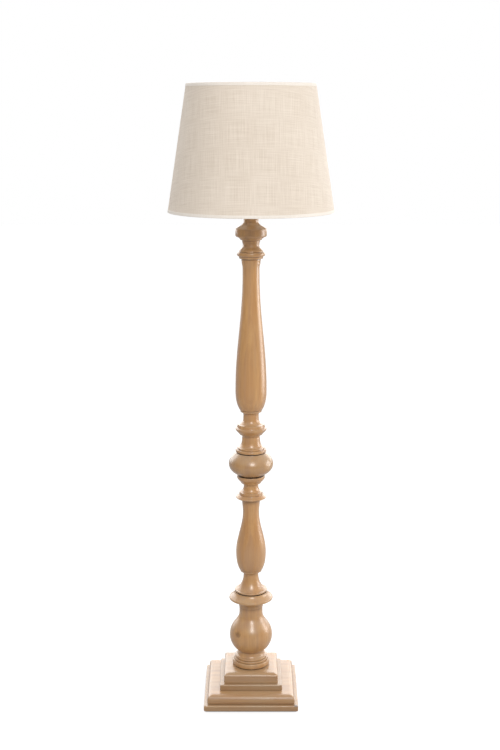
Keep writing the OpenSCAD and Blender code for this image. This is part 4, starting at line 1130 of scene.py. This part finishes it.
finishes = {"ballast_ring": rawIron, "ballast_screws": zincPlate, "slab_screws": zincPlate,
            "block_screws": zincPlate, "lamp_tube": zincPlate, "base_washer": zincPlate,
            "base_nut": zincPlate, "neck_nut": satinBrass, "holder_insert": porcelain,
            "screw_shell": satinBrass, "centre_contact": satinBrass, "bulb_cap": capMetal}
for name, material in finishes.items():
    dress(name, material)
print("finishes set on", sum(len(node.data.materials) > 0 for node in cad.values()), "solids")


# ---- studio

studio = {"ahead": 0.17, "above": 0.76, "behind": 3.2, "front": 98, "right": 34, "left": 9,
          "floor": 0.50, "floorGlow": 0.58, "floorSize": 14, "floorDrop": 0.0002}


def addSoftbox(name, azimuth, height, distance, aim, width, tall, power):
    # azimuth is in degrees from the front, positive to the right
    lamp = bpy.data.lights.new(name, "AREA")
    lamp.shape = "RECTANGLE"
    lamp.size = width
    lamp.size_y = tall
    lamp.energy = power
    turned = math.radians(azimuth)
    spot = Vector((distance*math.sin(turned), -distance*math.cos(turned), height))
    stand = newPiece(name, lamp)
    stand.location = spot
    stand.rotation_euler = (Vector((0, 0, aim)) - spot).to_track_quat("-Z", "Y").to_euler()


addSoftbox("frontBox", 8, 3.2, 3.5, 0.7, 0.8, 1.6, studio["front"])
addSoftbox("rightBox", 102, 1.0, 2.6, 0.7, 1.3, 1.5, studio["right"])
addSoftbox("leftBox", -128, 1.7, 2.6, 0.8, 0.6, 1.6, studio["left"])


def seenDirectly(tree):
    rays = addNode(tree, "ShaderNodeLightPath")
    return reckon("MAXIMUM", rays["Is Camera Ray"], rays["Is Transmission Ray"])


def makeFloor():
    size, depth = studio["floorSize"], -studio["floorDrop"]
    mesh = bpy.data.meshes.new("studioFloor")
    mesh.from_pydata([(-size, -size, depth), (size, -size, depth), (size, size, depth), (-size, size, depth)],
                     [], [(0, 1, 2, 3)])
    material = bpy.data.materials.new("paleFloor")
    material.use_nodes = True
    tree = material.node_tree
    tree.nodes.clear()
    pale = addNode(tree, "ShaderNodeBsdfDiffuse", {"Color": opaque((studio["floor"],)*3)})[0]
    glow = addNode(tree, "ShaderNodeEmission", {"Color": (1, 1, 1, 1),
                   "Strength": seenDirectly(tree)*studio["floorGlow"]})[0]
    both = addNode(tree, "ShaderNodeAddShader", {0: pale, 1: glow})[0]
    mixed = addNode(tree, "ShaderNodeMixShader", {0: addNode(tree, "ShaderNodeNewGeometry")["Backfacing"],
                    1: both, 2: addNode(tree, "ShaderNodeBsdfTransparent")[0]})[0]
    connect(tree.nodes.new("ShaderNodeOutputMaterial"), {0: mixed})
    mesh.materials.append(material)
    newPiece("studioFloor", mesh)


makeFloor()
world = bpy.data.worlds.new("studioWorld")
world.use_nodes = True
scene.world = world
tree = world.node_tree
tree.nodes.clear()
_, backward, upward = split(addNode(tree, "ShaderNodeTexCoord")["Generated"])
glow = reckon("MAXIMUM", ramp(upward, 0.05, 0.85, studio["ahead"], studio["above"]),
              ramp(backward, 0.3, 0.95, 0.0, studio["behind"]))
strength = addNode(tree, "ShaderNodeMix", {0: seenDirectly(tree), 2: glow, 3: 1.0})[0]
sky = addNode(tree, "ShaderNodeBackground", {"Color": (1, 1, 1, 1), "Strength": strength})[0]
connect(tree.nodes.new("ShaderNodeOutputWorld"), {0: sky})

camera = {"location": (-0.0027, -3.130, 1.5845), "down": 12.3, "lens": 58.32, "sensor": 36}
lensData = bpy.data.cameras.new("photoCamera")
lensData.lens = camera["lens"]
lensData.sensor_width = camera["sensor"]
photoCamera = newPiece("photoCamera", lensData)
photoCamera.location = camera["location"]
photoCamera.rotation_euler = (math.radians(90 - camera["down"]), 0, 0)
scene.camera = photoCamera
print("studio ready")
